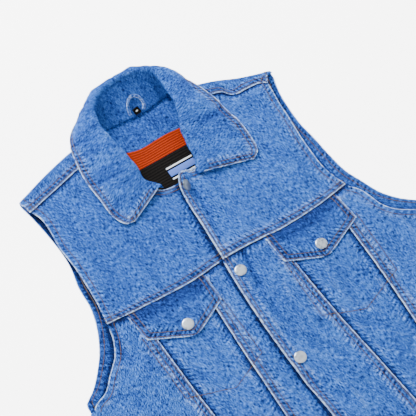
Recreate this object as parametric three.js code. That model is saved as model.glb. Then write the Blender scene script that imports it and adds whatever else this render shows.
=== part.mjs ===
// Sleeveless denim vest lying face up on a flat surface.
// Millimetres, +Z up: the underside of the back is at z = 0, +Y runs to the neck, +X to the viewer's right.
// Heights are above the surface. x = 0 is the centre front, y = 0 the top front snap.
import * as THREE from "three";

// Cloth
const clothThickness = 1.5;
const doubleThickness = 2.4;
const pieceGap = 0.3;
const curveSlack = 0.6;
const weltWidth = 10;
const weltRaise = 0.6;
const weltRamp = 1.2;

// Body, centre front
const edgeHeight = 6.6;
const foldBulge = 6;
const hemY = -558;
const bandTopY = -514;
const bandThickness = 2.6;
const backSeamY = -20;
const lapReach = 14;
const lapRaise = 3.1;
const bandLapRaise = 3.9;
const lapBlendY = -400;
const lapBlendLength = 100;
const underarmY = -198;

// Heights of the inside of the front along the centre, as [y, z]
const crownTable = [
  [hemY, 9], [bandTopY, 9.4], [-400, 11], [-250, 12], [-116, 11], [-20, 9.8], [40, 8.8], [100, 7.4],
  [140, edgeHeight],
];
// Half width that the crown spreads over, as [y, x]
const spreadTable = [[hemY, 250], [-350, 256], [underarmY, 262], [-150, 210], [-107, 186], [0, 180], [140, 185]];

// Lower edge of the front yokes and front edge of the shoulder pieces, as [x, y]
const yokeSeamTable = [
  [-188, -109], [-130, -115], [-68, -119], [-22, -115.5], [41, -116], [75, -118.5], [134, -115], [178, -108],
];
const shoulderSeamTables = {
  R: [[-190, 79], [-178, 81.5], [-108, 100], [-66, 111]],
  L: [[63, 112], [108, 102.5], [120, 97.5], [128, 87], [134, 84], [150, 84.5], [172, 82], [180, 77]],
};
// Top of the flat of the back, where it starts to fold over the shoulders or ends at the neck, as [x, y]
const backTopTable = [
  [-195.5, 95], [-154, 110], [-128, 118], [-101, 125], [-68, 131], [-56, 135], [-44, 136.5], [-22, 136],
  [4, 133.5], [28, 135.5], [50, 138.5], [58, 136], [68, 132], [100, 123], [122, 115.5], [153, 101.5], [195, 88],
];
const neckHalfWidth = 68;

// Side edge of the back, from the underarm to the shoulder, as [y, x]; R is the wearer's right
const backEdgeTables = {
  R: [[-192, -261.5], [-183, -260], [-174, -247], [-160, -233], [-136, -214.5], [-108, -200.5], [-78, -192],
    [-43, -190], [-12, -184], [18, -184], [67, -190], [94, -195.5]],
  L: [[-192, 261.5], [-183, 258], [-173, 244], [-159, 228], [-139, 213], [-112, 202], [-87, 193], [-55, 189],
    [-24, 187], [6, 184], [55, 187.4], [86, 195]],
};
// Side fold of the body below the underarm, as [y, x]
const foldTable = [[hemY, 243], [bandTopY, 244], [-350, 251], [underarmY, 257]];

// Soft creases of the front: from, to, half width and height
const creases = [
  { from: [-205, -165], to: [-168, -205], width: 16, height: 2.4 },
  { from: [-150, -30], to: [-120, 60], width: 22, height: 1.8 },
  { from: [120, -70], to: [150, 20], width: 22, height: 1.8 },
  { from: [30, -330], to: [-6, -372], width: 18, height: 2.6 },
  { from: [170, -240], to: [215, -330], width: 24, height: 2.2 },
  { from: [-180, -300], to: [-215, -400], width: 24, height: 2.2 },
  { from: [95, -330], to: [105, -470], width: 22, height: 1.6 },
  { from: [-100, -340], to: [-108, -480], width: 22, height: 1.6 },
];

const smooth = (t) => {
  const c = Math.min(1, Math.max(0, t));
  return c * c * (3 - 2 * c);
};
const mix = (a, b, t) => a + (b - a) * t;

// Value of a table at x, as a smooth curve through its points
function tableValue(table, x) {
  const rows = table[0][0] < table[table.length - 1][0] ? table : [...table].reverse();
  if (x <= rows[0][0]) return rows[0][1];
  const last = rows.length - 1;
  if (x >= rows[last][0]) return rows[last][1];
  const i = rows.findIndex((row) => row[0] > x) - 1;
  const slope = (k) => {
    const a = rows[Math.max(0, k - 1)];
    const b = rows[Math.min(last, k + 1)];
    return (b[1] - a[1]) / (b[0] - a[0]);
  };
  const h = rows[i + 1][0] - rows[i][0];
  const t = (x - rows[i][0]) / h;
  const t2 = t * t;
  const t3 = t2 * t;
  return (2 * t3 - 3 * t2 + 1) * rows[i][1] + (t3 - 2 * t2 + t) * h * slope(i)
    + (3 * t2 - 2 * t3) * rows[i + 1][1] + (t3 - t2) * h * slope(i + 1);
}

// Height of a crease above the plain cloth at a point
function creaseHeight({ from, to, width, height }, x, y) {
  const dx = to[0] - from[0];
  const dy = to[1] - from[1];
  const along = ((x - from[0]) * dx + (y - from[1]) * dy) / (dx * dx + dy * dy);
  const t = Math.min(1, Math.max(0, along));
  const distance = Math.hypot(x - from[0] - t * dx, y - from[1] - t * dy);
  return height * Math.exp(-((distance / width) ** 2));
}

// Inside of the front layer above the surface
function frontHeight(x, y) {
  const reach = Math.min(1, Math.abs(x) / tableValue(spreadTable, y));
  const crown = tableValue(crownTable, y) - edgeHeight;
  const folds = creases.reduce((sum, crease) => sum + creaseHeight(crease, x, y), 0);
  return edgeHeight + crown * (1 - reach ** 2.5) + folds;
}

// Extra height of the wearer's left front where it laps over the right one
function lapHeight(x, raise) {
  return raise * (1 - smooth((x - lapReach) / (2 * lapReach)));
}

// The same below the yoke, where it grows towards the waistband
function panelLapHeight(x, y) {
  return lapHeight(x, mix(lapRaise, bandLapRaise, smooth((lapBlendY - y) / lapBlendLength)));
}

// Closed wall between an outer and an inner grid of points, over the cells that keep() allows
function wall(outer, inner, keep = () => true) {
  const rows = outer.length;
  const columns = outer[0].length;
  const cell = (j, i) => j >= 0 && i >= 0 && j < rows - 1 && i < columns - 1 && keep(j, i);
  const positions = [];
  const triangle = (a, b, c) => [a, b, c].forEach((p) => positions.push(p.x, p.y, p.z));
  const quad = (a, b, c, d) => {
    triangle(a, b, c);
    triangle(a, c, d);
  };
  for (let j = 0; j < rows - 1; j++) {
    for (let i = 0; i < columns - 1; i++) {
      if (!cell(j, i)) continue;
      quad(outer[j][i], outer[j][i + 1], outer[j + 1][i + 1], outer[j + 1][i]);
      quad(inner[j][i], inner[j + 1][i], inner[j + 1][i + 1], inner[j][i + 1]);
      const rim = (j0, i0, j1, i1) => quad(outer[j0][i0], inner[j0][i0], inner[j1][i1], outer[j1][i1]);
      if (!cell(j - 1, i)) rim(j, i, j, i + 1);
      if (!cell(j, i + 1)) rim(j, i + 1, j + 1, i + 1);
      if (!cell(j + 1, i)) rim(j + 1, i + 1, j + 1, i);
      if (!cell(j, i - 1)) rim(j + 1, i, j, i);
    }
  }
  let volume = 0;
  const [a, b, c] = [new THREE.Vector3(), new THREE.Vector3(), new THREE.Vector3()];
  for (let k = 0; k < positions.length; k += 9) {
    a.fromArray(positions, k);
    b.fromArray(positions, k + 3);
    c.fromArray(positions, k + 6);
    volume += a.dot(b.cross(c));
  }
  if (volume < 0) {
    for (let k = 0; k < positions.length; k += 9) {
      for (let n = 0; n < 3; n++) {
        [positions[k + n], positions[k + 3 + n]] = [positions[k + 3 + n], positions[k + n]];
      }
    }
  }
  const geometry = new THREE.BufferGeometry();
  geometry.setAttribute("position", new THREE.Float32BufferAttribute(positions, 3));
  geometry.computeVertexNormals();
  return geometry;
}

// Places along a length: a raised welt at either end, if asked for, and even steps between
function places(length, count, weltAtStart, weltAtEnd) {
  const list = [];
  const start = weltAtStart ? weltWidth + weltRamp : 0;
  const end = weltAtEnd ? length - weltWidth - weltRamp : length;
  if (weltAtStart) list.push({ at: 0, raise: 1 }, { at: weltWidth, raise: 1 });
  for (let k = 0; k <= count; k++) list.push({ at: mix(start, end, k / count), raise: 0 });
  if (weltAtEnd) list.push({ at: length - weltWidth, raise: 1 }, { at: length, raise: 1 });
  return list;
}

const flatCurve = (points) =>
  new THREE.CatmullRomCurve3(points.map(([x, y]) => new THREE.Vector3(x, y, 0)), false, "centripetal");

// Front piece between two edge curves, in rows from the first curve to the second
function frontPiece({
  edgeA, edgeB, bottom, top, rows, columns, welts, lift, thickness = clothThickness, wrapBelow,
}) {
  const curveA = flatCurve(edgeA);
  const curveB = flatCurve(edgeB);
  const middle = flatCurve(edgeA.map(([x, y], k) => [(x + edgeB[k][0]) / 2, (y + edgeB[k][1]) / 2]));
  const length = middle.getLength();
  const rowList = places(length, rows, welts.bottom, welts.top).map(({ at, raise }) =>
    ({ t: middle.getUtoTmapping(at / length), raise }));
  if (wrapBelow !== undefined) {
    const underarm = wrapBelow / (edgeA.length - 1);
    const nearest = rowList.reduce((best, row) =>
      (Math.abs(row.t - underarm) < Math.abs(best.t - underarm) ? row : best));
    nearest.t = underarm;
  }
  // How far an end of the piece, at t = 0 or 1, is from the seam that it ends on
  const endShift = (t, u, seam) => {
    if (!seam) return 0;
    const [a, b] = [curveA.getPoint(t), curveB.getPoint(t)];
    return seam(mix(a.x, b.x, u)) - mix(a.y, b.y, u);
  };
  const outer = [];
  const inner = [];
  const wraps = [];
  for (const row of rowList) {
    const a = curveA.getPoint(row.t);
    const b = curveB.getPoint(row.t);
    const wrapped = wrapBelow !== undefined && row.t <= wrapBelow / (edgeA.length - 1) + 1e-6;
    const columnList = places(a.distanceTo(b), columns, welts.a, welts.b);
    const outerRow = [];
    const innerRow = [];
    for (const column of columnList) {
      const u = column.at / a.distanceTo(b);
      const x = mix(a.x, b.x, u);
      const shift = endShift(0, u, bottom) * (1 - row.t) ** 4 + endShift(1, u, top) * row.t ** 6;
      const y = mix(a.y, b.y, u) + shift;
      const z = frontHeight(x, y) + (lift ? lift(x, y) : 0);
      const besideFold = wrapped && u > 0.5;
      const raise = Math.max(row.raise, besideFold ? 0 : column.raise) * weltRaise;
      innerRow.push(new THREE.Vector3(x, y, z));
      outerRow.push(new THREE.Vector3(x, y, z + thickness + raise));
    }
    if (wrapBelow !== undefined) addFold(outerRow, innerRow, thickness);
    wraps.push(wrapped);
    outer.push(outerRow);
    inner.push(innerRow);
  }
  const flatCells = outer[0].length - 1 - (wrapBelow === undefined ? 0 : foldSteps);
  return wall(outer, inner, (j, i) => i < flatCells || (wraps[j] && wraps[j + 1]));
}

// Turns a row around the side fold, down to the surface
const foldSteps = 4;
function addFold(outerRow, innerRow, thickness) {
  const top = outerRow[outerRow.length - 1];
  const side = Math.sign(top.x);
  const radius = top.z / 2;
  for (let k = 1; k <= foldSteps; k++) {
    const angle = Math.PI / 2 - (Math.PI * k) / foldSteps;
    const out = Math.cos(angle);
    const up = Math.sin(angle);
    outerRow.push(new THREE.Vector3(top.x + side * foldBulge * out, top.y, radius + radius * up));
    innerRow.push(new THREE.Vector3(
      top.x + side * (foldBulge - thickness) * out, top.y, radius + (radius - thickness) * up));
  }
}

const palette = {
  denim: { color: "#5a85c7", roughness: 0.92, metalness: 0 },
  pewter: { color: "#bfccdc", roughness: 0.4, metalness: 0.8 },
  orange: { color: "#d74b23", roughness: 0.8, metalness: 0 },
  black: { color: "#282421", roughness: 0.85, metalness: 0 },
};
const group = new THREE.Group();
function add(name, geometry, material) {
  const mesh = new THREE.Mesh(geometry, new THREE.MeshStandardMaterial(palette[material]));
  mesh.name = name;
  group.add(mesh);
  return mesh;
}

// Lower ends of the front yokes and upper ends of the pieces that meet them
const yokeSeam = (x) => tableValue(yokeSeamTable, x);
const belowYoke = (x) => yokeSeam(x) - pieceGap - curveSlack;
const shoulderSeam = (side) => (x) => tableValue(shoulderSeamTables[side], x) - pieceGap / 2;

// Front edges of the wearer's left front and of the right front that it laps over, as [y, x]
const frontEdgeL = [[hemY, -18], [-420, -19], [-330, -22], [-250, -26], [-140, -22], [-62, -14], [8, -8]];
const frontEdgeR = [[hemY, 8], [-330, 4], [-140, 4], [-62, 9], [8, 14]];
const edgeAt = (table, y) => [tableValue(table, y), y];

// Vertical seams of the front, as [y, x]
const seams = {
  centreL: [[bandTopY, 84], [-398, 76], [-257, 63], [-168, 58], [-114, 56]],
  sideL: [[bandTopY, 126], [-316, 137], [-255, 141], [-166, 144], [-114, 146]],
  centreR: [[bandTopY, -84], [-334, -67], [-254, -65.5], [-166, -62], [-114, -60]],
  sideR: [[bandTopY, -126], [-288, -138.5], [-254, -141], [-165, -144.5], [-114, -146]],
};

function frontYokes() {
  const left = {
    edgeA: [[-18, -116], [-14, -62], [-12, -17], [-8, 7], [0, 12], [22, 16], [44, 38], [56, 72], [63, 112]],
    edgeB: [
      [178.5, -106.5], [169.5, -72], [170, -22], [172, -2], [173, 8], [174.5, 22], [176, 42], [178.5, 60], [181, 79],
    ],
  };
  const right = {
    edgeA: [[5, -116], [9, -62], [12, -17], [14, 2], [0, 9], [-28, 14], [-48, 38], [-60, 72], [-66, 111]],
    edgeB: [
      [-186, -107.5], [-185, -71], [-183.7, -19], [-183.7, 0], [-183.7, 11], [-184, 24], [-184.5, 44], [-186, 62],
      [-189, 80],
    ],
  };
  const shared = { bottom: (x) => yokeSeam(x), rows: 11, columns: 7, welts: { a: true, b: true, bottom: true } };
  const lift = (x) => lapHeight(x, lapRaise);
  add("front_yoke_L", frontPiece({ ...left, ...shared, top: shoulderSeam("L"), lift }), "denim");
  add("front_yoke_R", frontPiece({ ...right, ...shared, top: shoulderSeam("R") }), "denim");
}

function frontPanels() {
  const levels = [bandTopY, -460, -400, -340, -280, -230, -170, -116];
  for (const side of ["L", "R"]) {
    const sign = side === "L" ? 1 : -1;
    const front = side === "L" ? frontEdgeL : frontEdgeR;
    const centre = seams[`centre${side}`];
    const outside = seams[`side${side}`];
    const offset = (table, amount) => levels.map((y) => [tableValue(table, y) + sign * amount, y]);
    const rows = 11;
    const centrePiece = {
      edgeA: levels.map((y) => edgeAt(front, y)), edgeB: offset(centre, 0), bottom: () => bandTopY,
      top: belowYoke, rows, columns: 3, welts: { a: true, b: true },
    };
    if (side === "L") centrePiece.lift = panelLapHeight;
    add(`front_centre_${side}`, frontPiece(centrePiece), "denim");
    add(`front_mid_${side}`, frontPiece({
      edgeA: offset(centre, pieceGap), edgeB: offset(outside, -pieceGap), bottom: () => bandTopY,
      top: belowYoke, rows, columns: 3, welts: {},
    }), "denim");
  }
  const sideLevels = [bandTopY, -460, -400, -340, -280, -240, -206, -184, -164, -136, -116];
  const armholes = {
    L: [[257, underarmY], [233, -187], [212, -172.5], [202, -159], [191, -125], [178.5, -109.2]],
    R: [[-257, underarmY], [-233, -184.5], [-220, -171], [-202, -153], [-191, -131], [-186, -110.3]],
  };
  for (const side of ["L", "R"]) {
    const sign = side === "L" ? 1 : -1;
    const below = sideLevels.slice(0, 5).map((y) => [sign * tableValue(foldTable, y), y]);
    add(`front_side_${side}`, frontPiece({
      edgeA: sideLevels.map((y) => [tableValue(seams[`side${side}`], y), y]),
      edgeB: [...below, ...armholes[side]],
      bottom: () => bandTopY, rows: 13, columns: 4, welts: { a: true, b: true }, wrapBelow: 5,
    }), "denim");
  }
}

// Outer face of the wearer's left front, or of the right front
function frontTop(x, y, side) {
  const lap = side === "L" ? lapHeight(x, lapRaise) : 0;
  return frontHeight(x, y) + lap + clothThickness + weltRaise;
}

function waistband() {
  const levels = [hemY, bandTopY - pieceGap];
  for (const side of ["L", "R"]) {
    const sign = side === "L" ? 1 : -1;
    const front = side === "L" ? frontEdgeL : frontEdgeR;
    add(`waistband_front_${side}`, frontPiece({
      edgeA: levels.map((y) => edgeAt(front, y)),
      edgeB: levels.map((y) => [sign * tableValue(foldTable, y), y]),
      rows: 2, columns: 10, welts: {}, thickness: bandThickness, wrapBelow: 1,
      lift: side === "L" ? (x) => lapHeight(x, bandLapRaise) : undefined,
    }), "denim");
  }
  const row = (y, z) => [-1, -0.5, 0, 0.5, 1].map((u) =>
    new THREE.Vector3(u * (tableValue(foldTable, y) - pieceGap), y, z));
  const rows = (z) => levels.map((y) => row(y, z));
  add("waistband_back", wall(rows(0), rows(bandThickness)), "denim");
}

// Back below its yoke: flat, with the armholes cut out of its sides
function backPanel() {
  const levels = [
    bandTopY, -440, -360, -280, underarmY - pieceGap, -192, -183, -174, -160, -136, -108, -78, -43,
    backSeamY - pieceGap,
  ];
  const edge = (side, y) => {
    const sign = side === "L" ? 1 : -1;
    return y < underarmY ? sign * (tableValue(foldTable, y) - pieceGap) : tableValue(backEdgeTables[side], y);
  };
  const rows = (z) => levels.map((y) => [0, 0.25, 0.5, 0.75, 1].map((u) =>
    new THREE.Vector3(mix(edge("R", y), edge("L", y), u), y, z)));
  add("back_panel", wall(rows(0), rows(clothThickness)), "denim");
}

// Back yoke: flat on the surface, folded over both shoulders and sewn to the front yokes there
function backYoke() {
  const sideSteps = [0, 0.055, 0.075, 0.3, 0.55, 0.8, 1];
  const neckSteps = [0.85, 0.66, 0.33, 0, -0.33, -0.66, -0.85];
  const flatSteps = [0, 0.3, 0.6, 0.85, 1];
  const turnSteps = 4;
  const seamRows = [weltWidth + weltRamp, weltWidth, 0];
  const outer = [];
  const inner = [];
  const frontEdges = { L: 180, R: -190 };
  const columns = [
    ...sideSteps.map((u) => ({ side: "R", u })), ...neckSteps.map((n) => ({ neck: -n * neckHalfWidth })),
    ...[...sideSteps].reverse().map((u) => ({ side: "L", u })),
  ];
  const columnX = (column, y, front) => {
    if (column.neck !== undefined) return column.neck;
    const sign = column.side === "L" ? 1 : -1;
    const edge = mix(tableValue(backEdgeTables[column.side], y), frontEdges[column.side], front);
    return mix(edge, sign * neckHalfWidth, column.u);
  };
  const pushRow = (point) => {
    const pairs = columns.map(point);
    outer.push(pairs.map((pair) => pair[0]));
    inner.push(pairs.map((pair) => pair[1]));
  };
  const top = (x) => tableValue(backTopTable, x);
  const shoulderY = 90;
  for (const v of flatSteps) {
    pushRow((column) => {
      const x = columnX(column, mix(backSeamY, shoulderY, v), 0);
      const y = mix(backSeamY, top(x), v);
      return [new THREE.Vector3(x, y, 0), new THREE.Vector3(x, y, clothThickness)];
    });
  }
  const hem = (column) => (column.side && column.u < 0.06 ? weltRaise : 0);
  for (let k = 1; k <= turnSteps; k++) {
    const angle = (Math.PI * k) / turnSteps - Math.PI / 2;
    pushRow((column) => {
      const x = columnX(column, shoulderY, 0);
      const radius = (frontHeight(x, top(x)) + clothThickness) / 2;
      const out = Math.cos(angle);
      const up = Math.sin(angle);
      const innerRadius = radius - clothThickness;
      return [
        new THREE.Vector3(x, top(x) + foldBulge * out, radius + radius * up),
        new THREE.Vector3(x, top(x) + (foldBulge - clothThickness) * out, radius + innerRadius * up),
      ];
    });
  }
  for (const distance of seamRows) {
    pushRow((column) => {
      const x = columnX(column, shoulderY, 1 - distance / (2 * (weltWidth + weltRamp)));
      const seamSide = x > 0 ? "L" : "R";
      const y = tableValue(shoulderSeamTables[seamSide], x) + pieceGap / 2 + curveSlack + distance;
      const z = frontHeight(x, y);
      const raise = distance > weltWidth ? hem(column) : weltRaise;
      return [new THREE.Vector3(x, y, z + clothThickness + raise), new THREE.Vector3(x, y, z)];
    });
  }
  const overShoulder = (i) => i < sideSteps.length - 1 || i >= sideSteps.length + neckSteps.length;
  add("back_yoke", wall(outer, inner, (j, i) => j < flatSteps.length - 1 || overShoulder(i)), "denim");
}

// Collar: from its seam at the neck (n) up to the roll (r) and over to its outer edge (e).
// Stations run from the wearer's right front, round the back of the neck, to the left front.
// drop is 1 where the fall lies on a shoulder and 0 where it hangs straight behind the neck.
const collarStations = [
  { n: [-25, 15, 12], r: [-27, 18, 17], e: [-83, -8, 14], drop: 1 },
  { n: [-33, 21, 12], r: [-32.5, 26, 18], e: [-96, -4.5, 14], drop: 1 },
  { n: [-43, 31, 12], r: [-42.5, 36, 21], e: [-104, 14, 14], drop: 1 },
  { n: [-53, 50, 11], r: [-41.5, 53, 24], e: [-106, 45, 14], drop: 1 },
  { n: [-60, 80, 10], r: [-44.5, 82, 28], e: [-107, 80, 13], drop: 1 },
  { n: [-64, 106, 9], r: [-49.5, 111, 32], e: [-103, 112, 12], drop: 1 },
  { n: [-63, 126, 7], r: [-51, 138, 34.5], e: [-95, 140, 8], drop: 0.5 },
  { n: [-45, 134.5, 3.4], r: [-42, 161, 35], e: [-70, 165, 4], drop: 0.1 },
  { n: [-22, 134, 3.2], r: [-23, 174.5, 35], e: [-34, 187, 2.6], drop: 0 },
  { n: [5, 131.5, 3.2], r: [4, 178, 35], e: [4, 192, 2.6], drop: 0 },
  { n: [30, 133.5, 3.2], r: [30, 176, 35], e: [40, 187, 2.6], drop: 0 },
  { n: [51, 136, 3.4], r: [50, 164, 35], e: [74, 168, 4], drop: 0.1 },
  { n: [65, 127, 7], r: [52, 140, 34.5], e: [93, 139, 8], drop: 0.5 },
  { n: [66, 108, 9], r: [51.5, 113, 33], e: [100, 114, 12], drop: 1 },
  { n: [63, 92, 9.5], r: [46.5, 92, 31], e: [106, 94, 13], drop: 1 },
  { n: [58, 73, 10], r: [38.5, 75, 28], e: [108.5, 70, 14], drop: 1 },
  { n: [49, 48, 11], r: [33.5, 51, 25], e: [113, 42, 14], drop: 1 },
  { n: [39, 31, 13], r: [32, 31, 21], e: [112.5, 16, 14], drop: 1 },
  { n: [30, 20, 14], r: [27, 14, 19], e: [109, -5, 14], drop: 1 },
  { n: [22, 13, 14], r: [21, 7, 17], e: [98, -14, 14], drop: 1 },
];
const standSteps = 4;
const rollSteps = 3;
const fallSteps = 6;
const rollRadius = 4.5;
const collarLift = 0.5;
// Behind the neck, where nothing lies below the collar, and where the left front's lap begins
const neckClearX = 56;
const neckClearY = 110;
const lapEdgeX = -12;

const stationCurve = (key) => new THREE.CatmullRomCurve3(
  collarStations.map((station) => new THREE.Vector3(...station[key])), false, "centripetal");
const collarCurves = { n: stationCurve("n"), r: stationCurve("r"), e: stationCurve("e") };

// Middle of the collar's cloth at a place along it (0 to 1) and a step across it
function collarPoint(along, step) {
  const n = collarCurves.n.getPoint(along);
  const r = collarCurves.r.getPoint(along);
  const e = collarCurves.e.getPoint(along);
  const place = along * (collarStations.length - 1);
  const k = Math.min(collarStations.length - 2, Math.floor(place));
  const drop = mix(collarStations[k].drop, collarStations[k + 1].drop, place - k);
  const outward = new THREE.Vector3(e.x - r.x, e.y - r.y, 0);
  const radius = Math.min(rollRadius, 0.35 * outward.length());
  outward.normalize();
  const crest = r.clone().addScaledVector(outward, radius);
  if (step <= standSteps) {
    const end = new THREE.Vector3(r.x, r.y, r.z - radius);
    const control = n.clone().lerp(end, 0.6);
    control.z = mix(n.z, end.z, 0.4);
    return new THREE.QuadraticBezierCurve3(n, control, end).getPoint(step / standSteps);
  }
  if (step <= standSteps + rollSteps) {
    const angle = (Math.PI / 2) * ((step - standSteps) / rollSteps);
    const point = crest.clone().addScaledVector(outward, -radius * Math.cos(angle));
    point.z = r.z - radius + radius * Math.sin(angle);
    return point;
  }
  const w = (step - standSteps - rollSteps) / fallSteps;
  const angle = (Math.PI / 2) * w;
  const across = mix(Math.sin(angle), w, drop);
  const down = mix(Math.cos(angle), 1 - smooth(w), drop);
  const point = crest.clone().lerp(e, across);
  point.z = mix(e.z, crest.z, down);
  return point;
}

// Middle of the collar, held clear of the shoulder below it
function clearCollarPoint(along, step) {
  const point = collarPoint(along, step);
  const overBackOfNeck = Math.abs(point.x) < neckClearX && point.y > neckClearY;
  const besideShoulder = point.y > tableValue(backTopTable, point.x) + foldBulge;
  if (overBackOfNeck || besideShoulder) return point;
  const shoulder = frontTop(point.x, point.y, point.x > lapEdgeX ? "L" : "R");
  const floor = shoulder + collarLift + doubleThickness / 2;
  point.z = Math.max(point.z, floor);
  return point;
}

// Direction out of the collar's cloth
function collarNormal(along, step) {
  const slope = 0.002;
  const steps = standSteps + rollSteps + fallSteps;
  const ahead = clearCollarPoint(Math.min(1, along + slope), step);
  const behind = clearCollarPoint(Math.max(0, along - slope), step);
  const over = clearCollarPoint(along, Math.min(steps, step + 0.1));
  const under = clearCollarPoint(along, Math.max(0, step - 0.1));
  return over.sub(under).cross(ahead.sub(behind)).normalize();
}

function collar() {
  const rows = 36;
  const steps = standSteps + rollSteps + fallSteps;
  const outer = [];
  const inner = [];
  for (let j = 0; j <= rows; j++) {
    const along = j / rows;
    const outerRow = [];
    const innerRow = [];
    for (let i = 0; i <= steps; i++) {
      const point = clearCollarPoint(along, i);
      const normal = collarNormal(along, i);
      outerRow.push(point.clone().addScaledVector(normal, doubleThickness / 2));
      innerRow.push(point.clone().addScaledVector(normal, -doubleThickness / 2));
    }
    outer.push(outerRow);
    inner.push(innerRow);
  }
  add("collar", wall(outer, inner), "denim");
}

// Pocket flaps: the ends of the top under the yoke, as x, and the pointed lower edge, as [x, y]
const flapOutlines = {
  L: { top: [43.5, 158], bottom: [[46, -160], [97.5, -185], [161, -157]] },
  R: { top: [-48, -161], bottom: [[-48.5, -160], [-101, -186], [-156.5, -156]] },
};
const flapLift = 0.95;
function pocketFlaps() {
  const acrossSteps = 10;
  const downSteps = [0, 0.35, 0.72, 0.86, 1];
  for (const side of ["L", "R"]) {
    const { top, bottom } = flapOutlines[side];
    const point = (u, v, lift) => {
      const tipAt = (bottom[1][0] - bottom[0][0]) / (bottom[2][0] - bottom[0][0]);
      const low = u < tipAt
        ? { from: bottom[0], to: bottom[1], t: u / tipAt }
        : { from: bottom[1], to: bottom[2], t: (u - tipAt) / (1 - tipAt) };
      const lowX = mix(low.from[0], low.to[0], low.t);
      const lowY = mix(low.from[1], low.to[1], low.t);
      const highX = mix(top[0], top[1], u);
      const highY = belowYoke(highX) - pieceGap;
      const x = mix(highX, lowX, v);
      const y = mix(highY, lowY, v);
      return new THREE.Vector3(x, y, frontHeight(x, y) + clothThickness + flapLift + lift);
    };
    const grid = (lift) => downSteps.map((v) => {
      const row = [];
      for (let i = 0; i <= acrossSteps; i++) row.push(point(i / acrossSteps, v, lift));
      return row;
    });
    add(`pocket_flap_${side}`, wall(grid(doubleThickness), grid(0)), "denim");
  }
}

// Snap caps: a flat disc with a thin raised rim
const snapRadius = 8;
const snapHeight = 2.4;
const snapSteps = 14;
function snapCap(name, x, y, height) {
  const profile = [
    [0, 0], [snapRadius - 0.5, 0], [snapRadius, 0.5], [snapRadius, 1.5], [snapRadius - 0.7, snapHeight],
    [snapRadius - 1.5, snapHeight - 0.4], [0, snapHeight - 0.2],
  ].map(([r, z]) => new THREE.Vector2(r, z));
  const geometry = new THREE.LatheGeometry(profile, snapSteps);
  geometry.rotateX(Math.PI / 2);
  const mesh = add(name, geometry, "pewter");
  const reach = 5;
  const slopeX = (height(x + reach, y) - height(x - reach, y)) / (2 * reach);
  const slopeY = (height(x, y + reach) - height(x, y - reach)) / (2 * reach);
  const normal = new THREE.Vector3(-slopeX, -slopeY, 1).normalize();
  mesh.quaternion.setFromUnitVectors(new THREE.Vector3(0, 0, 1), normal);
  mesh.position.set(x, y, height(x, y) + pieceGap);
}

const frontSnaps = [[-1.5, -2], [-7.9, -140.3], [-11, -278], [-6, -414], [-4, -536]];
const pocketSnaps = { L: [99.6, -164.5], R: [-103, -166] };
function snaps() {
  const onFront = (x, y) => frontHeight(x, y) + clothThickness + weltRaise + panelLapHeight(x, y);
  const onBand = (x, y) => onFront(x, y) + bandThickness - clothThickness - weltRaise;
  frontSnaps.forEach(([x, y], k) => snapCap(`snap_front_${k + 1}`, x, y, y < bandTopY ? onBand : onFront));
  const onFlap = (x, y) => frontHeight(x, y) + clothThickness + flapLift + doubleThickness;
  for (const [side, [x, y]] of Object.entries(pocketSnaps)) snapCap(`snap_pocket_${side}`, x, y, onFlap);
}

const liningHalfWidth = 72;
const liningThickness = 0.9;

// Flat strip of cloth on the inside of the back, between two levels
function insideStrip(name, fromY, toY, material) {
  const steps = [-1, -0.5, 0, 0.5, 1];
  const grid = (z) => [fromY, toY].map((y) => steps.map((u) => new THREE.Vector3(u * liningHalfWidth, y, z)));
  const floor = clothThickness + pieceGap;
  add(name, wall(grid(floor + liningThickness), grid(floor)), material);
}

const loopRadius = 1.2;
const loopLift = 1.6;
const tabSize = 8.5;
const tabThickness = 0.6;
const tabX = 7.3;
const tabStep = 0.45;

// Place along the collar where its seam at the back of the neck passes x
function alongCollar(x) {
  let [low, high] = [0.3, 0.65];
  for (let k = 0; k < 20; k++) {
    const middle = (low + high) / 2;
    if (collarCurves.n.getPoint(middle).x < x) low = middle;
    else high = middle;
  }
  return low;
}

// Denim loop standing against the inside of the collar, and the size tab at its foot
function hangLoop() {
  const path = [
    [-3, 0.4], [-1, 1.1], [3, 1.6], [12, 1.85], [19, 1.4], [21, 0.8], [16.5, 0.3],
  ].map(([x, step]) => {
    const along = alongCollar(x);
    const normal = collarNormal(along, step);
    const lift = normal.z > 0 ? 1 : -1;
    return clearCollarPoint(along, step).addScaledVector(normal, lift * (doubleThickness / 2 + loopLift));
  });
  const curve = new THREE.CatmullRomCurve3(path);
  const section = new THREE.Shape();
  const sides = 8;
  for (let k = 0; k < sides; k++) {
    const angle = (2 * Math.PI * k) / sides;
    const [x, y] = [loopRadius * Math.cos(angle), loopRadius * Math.sin(angle)];
    if (k === 0) section.moveTo(x, y);
    else section.lineTo(x, y);
  }
  section.closePath();
  add("hang_loop", new THREE.ExtrudeGeometry(section, { steps: 18, extrudePath: curve, curveSegments: 1 }), "denim");
  const tab = add("size_tab", new THREE.BoxGeometry(tabSize, tabSize, tabThickness), "black");
  const along = alongCollar(tabX);
  const normal = collarNormal(along, tabStep);
  if (normal.z < 0) normal.negate();
  tab.quaternion.setFromUnitVectors(new THREE.Vector3(0, 0, 1), normal);
  const tabLift = doubleThickness / 2 + tabThickness + pieceGap;
  tab.position.copy(clearCollarPoint(along, tabStep)).addScaledVector(normal, tabLift);
}

frontYokes();
frontPanels();
waistband();
backPanel();
backYoke();
collar();
pocketFlaps();
snaps();
insideStrip("lining_orange", 58.6, 86.5, "orange");
insideStrip("lining_black", -14, 58.3, "black");
hangLoop();

const box = new THREE.Box3().setFromObject(group);
const centre = box.getCenter(new THREE.Vector3());
group.position.set(-centre.x, -centre.y, -box.min.z);
export default group;
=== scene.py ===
import math

import bpy
import numpy as np
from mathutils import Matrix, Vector
from mathutils.bvhtree import BVHTree


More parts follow.
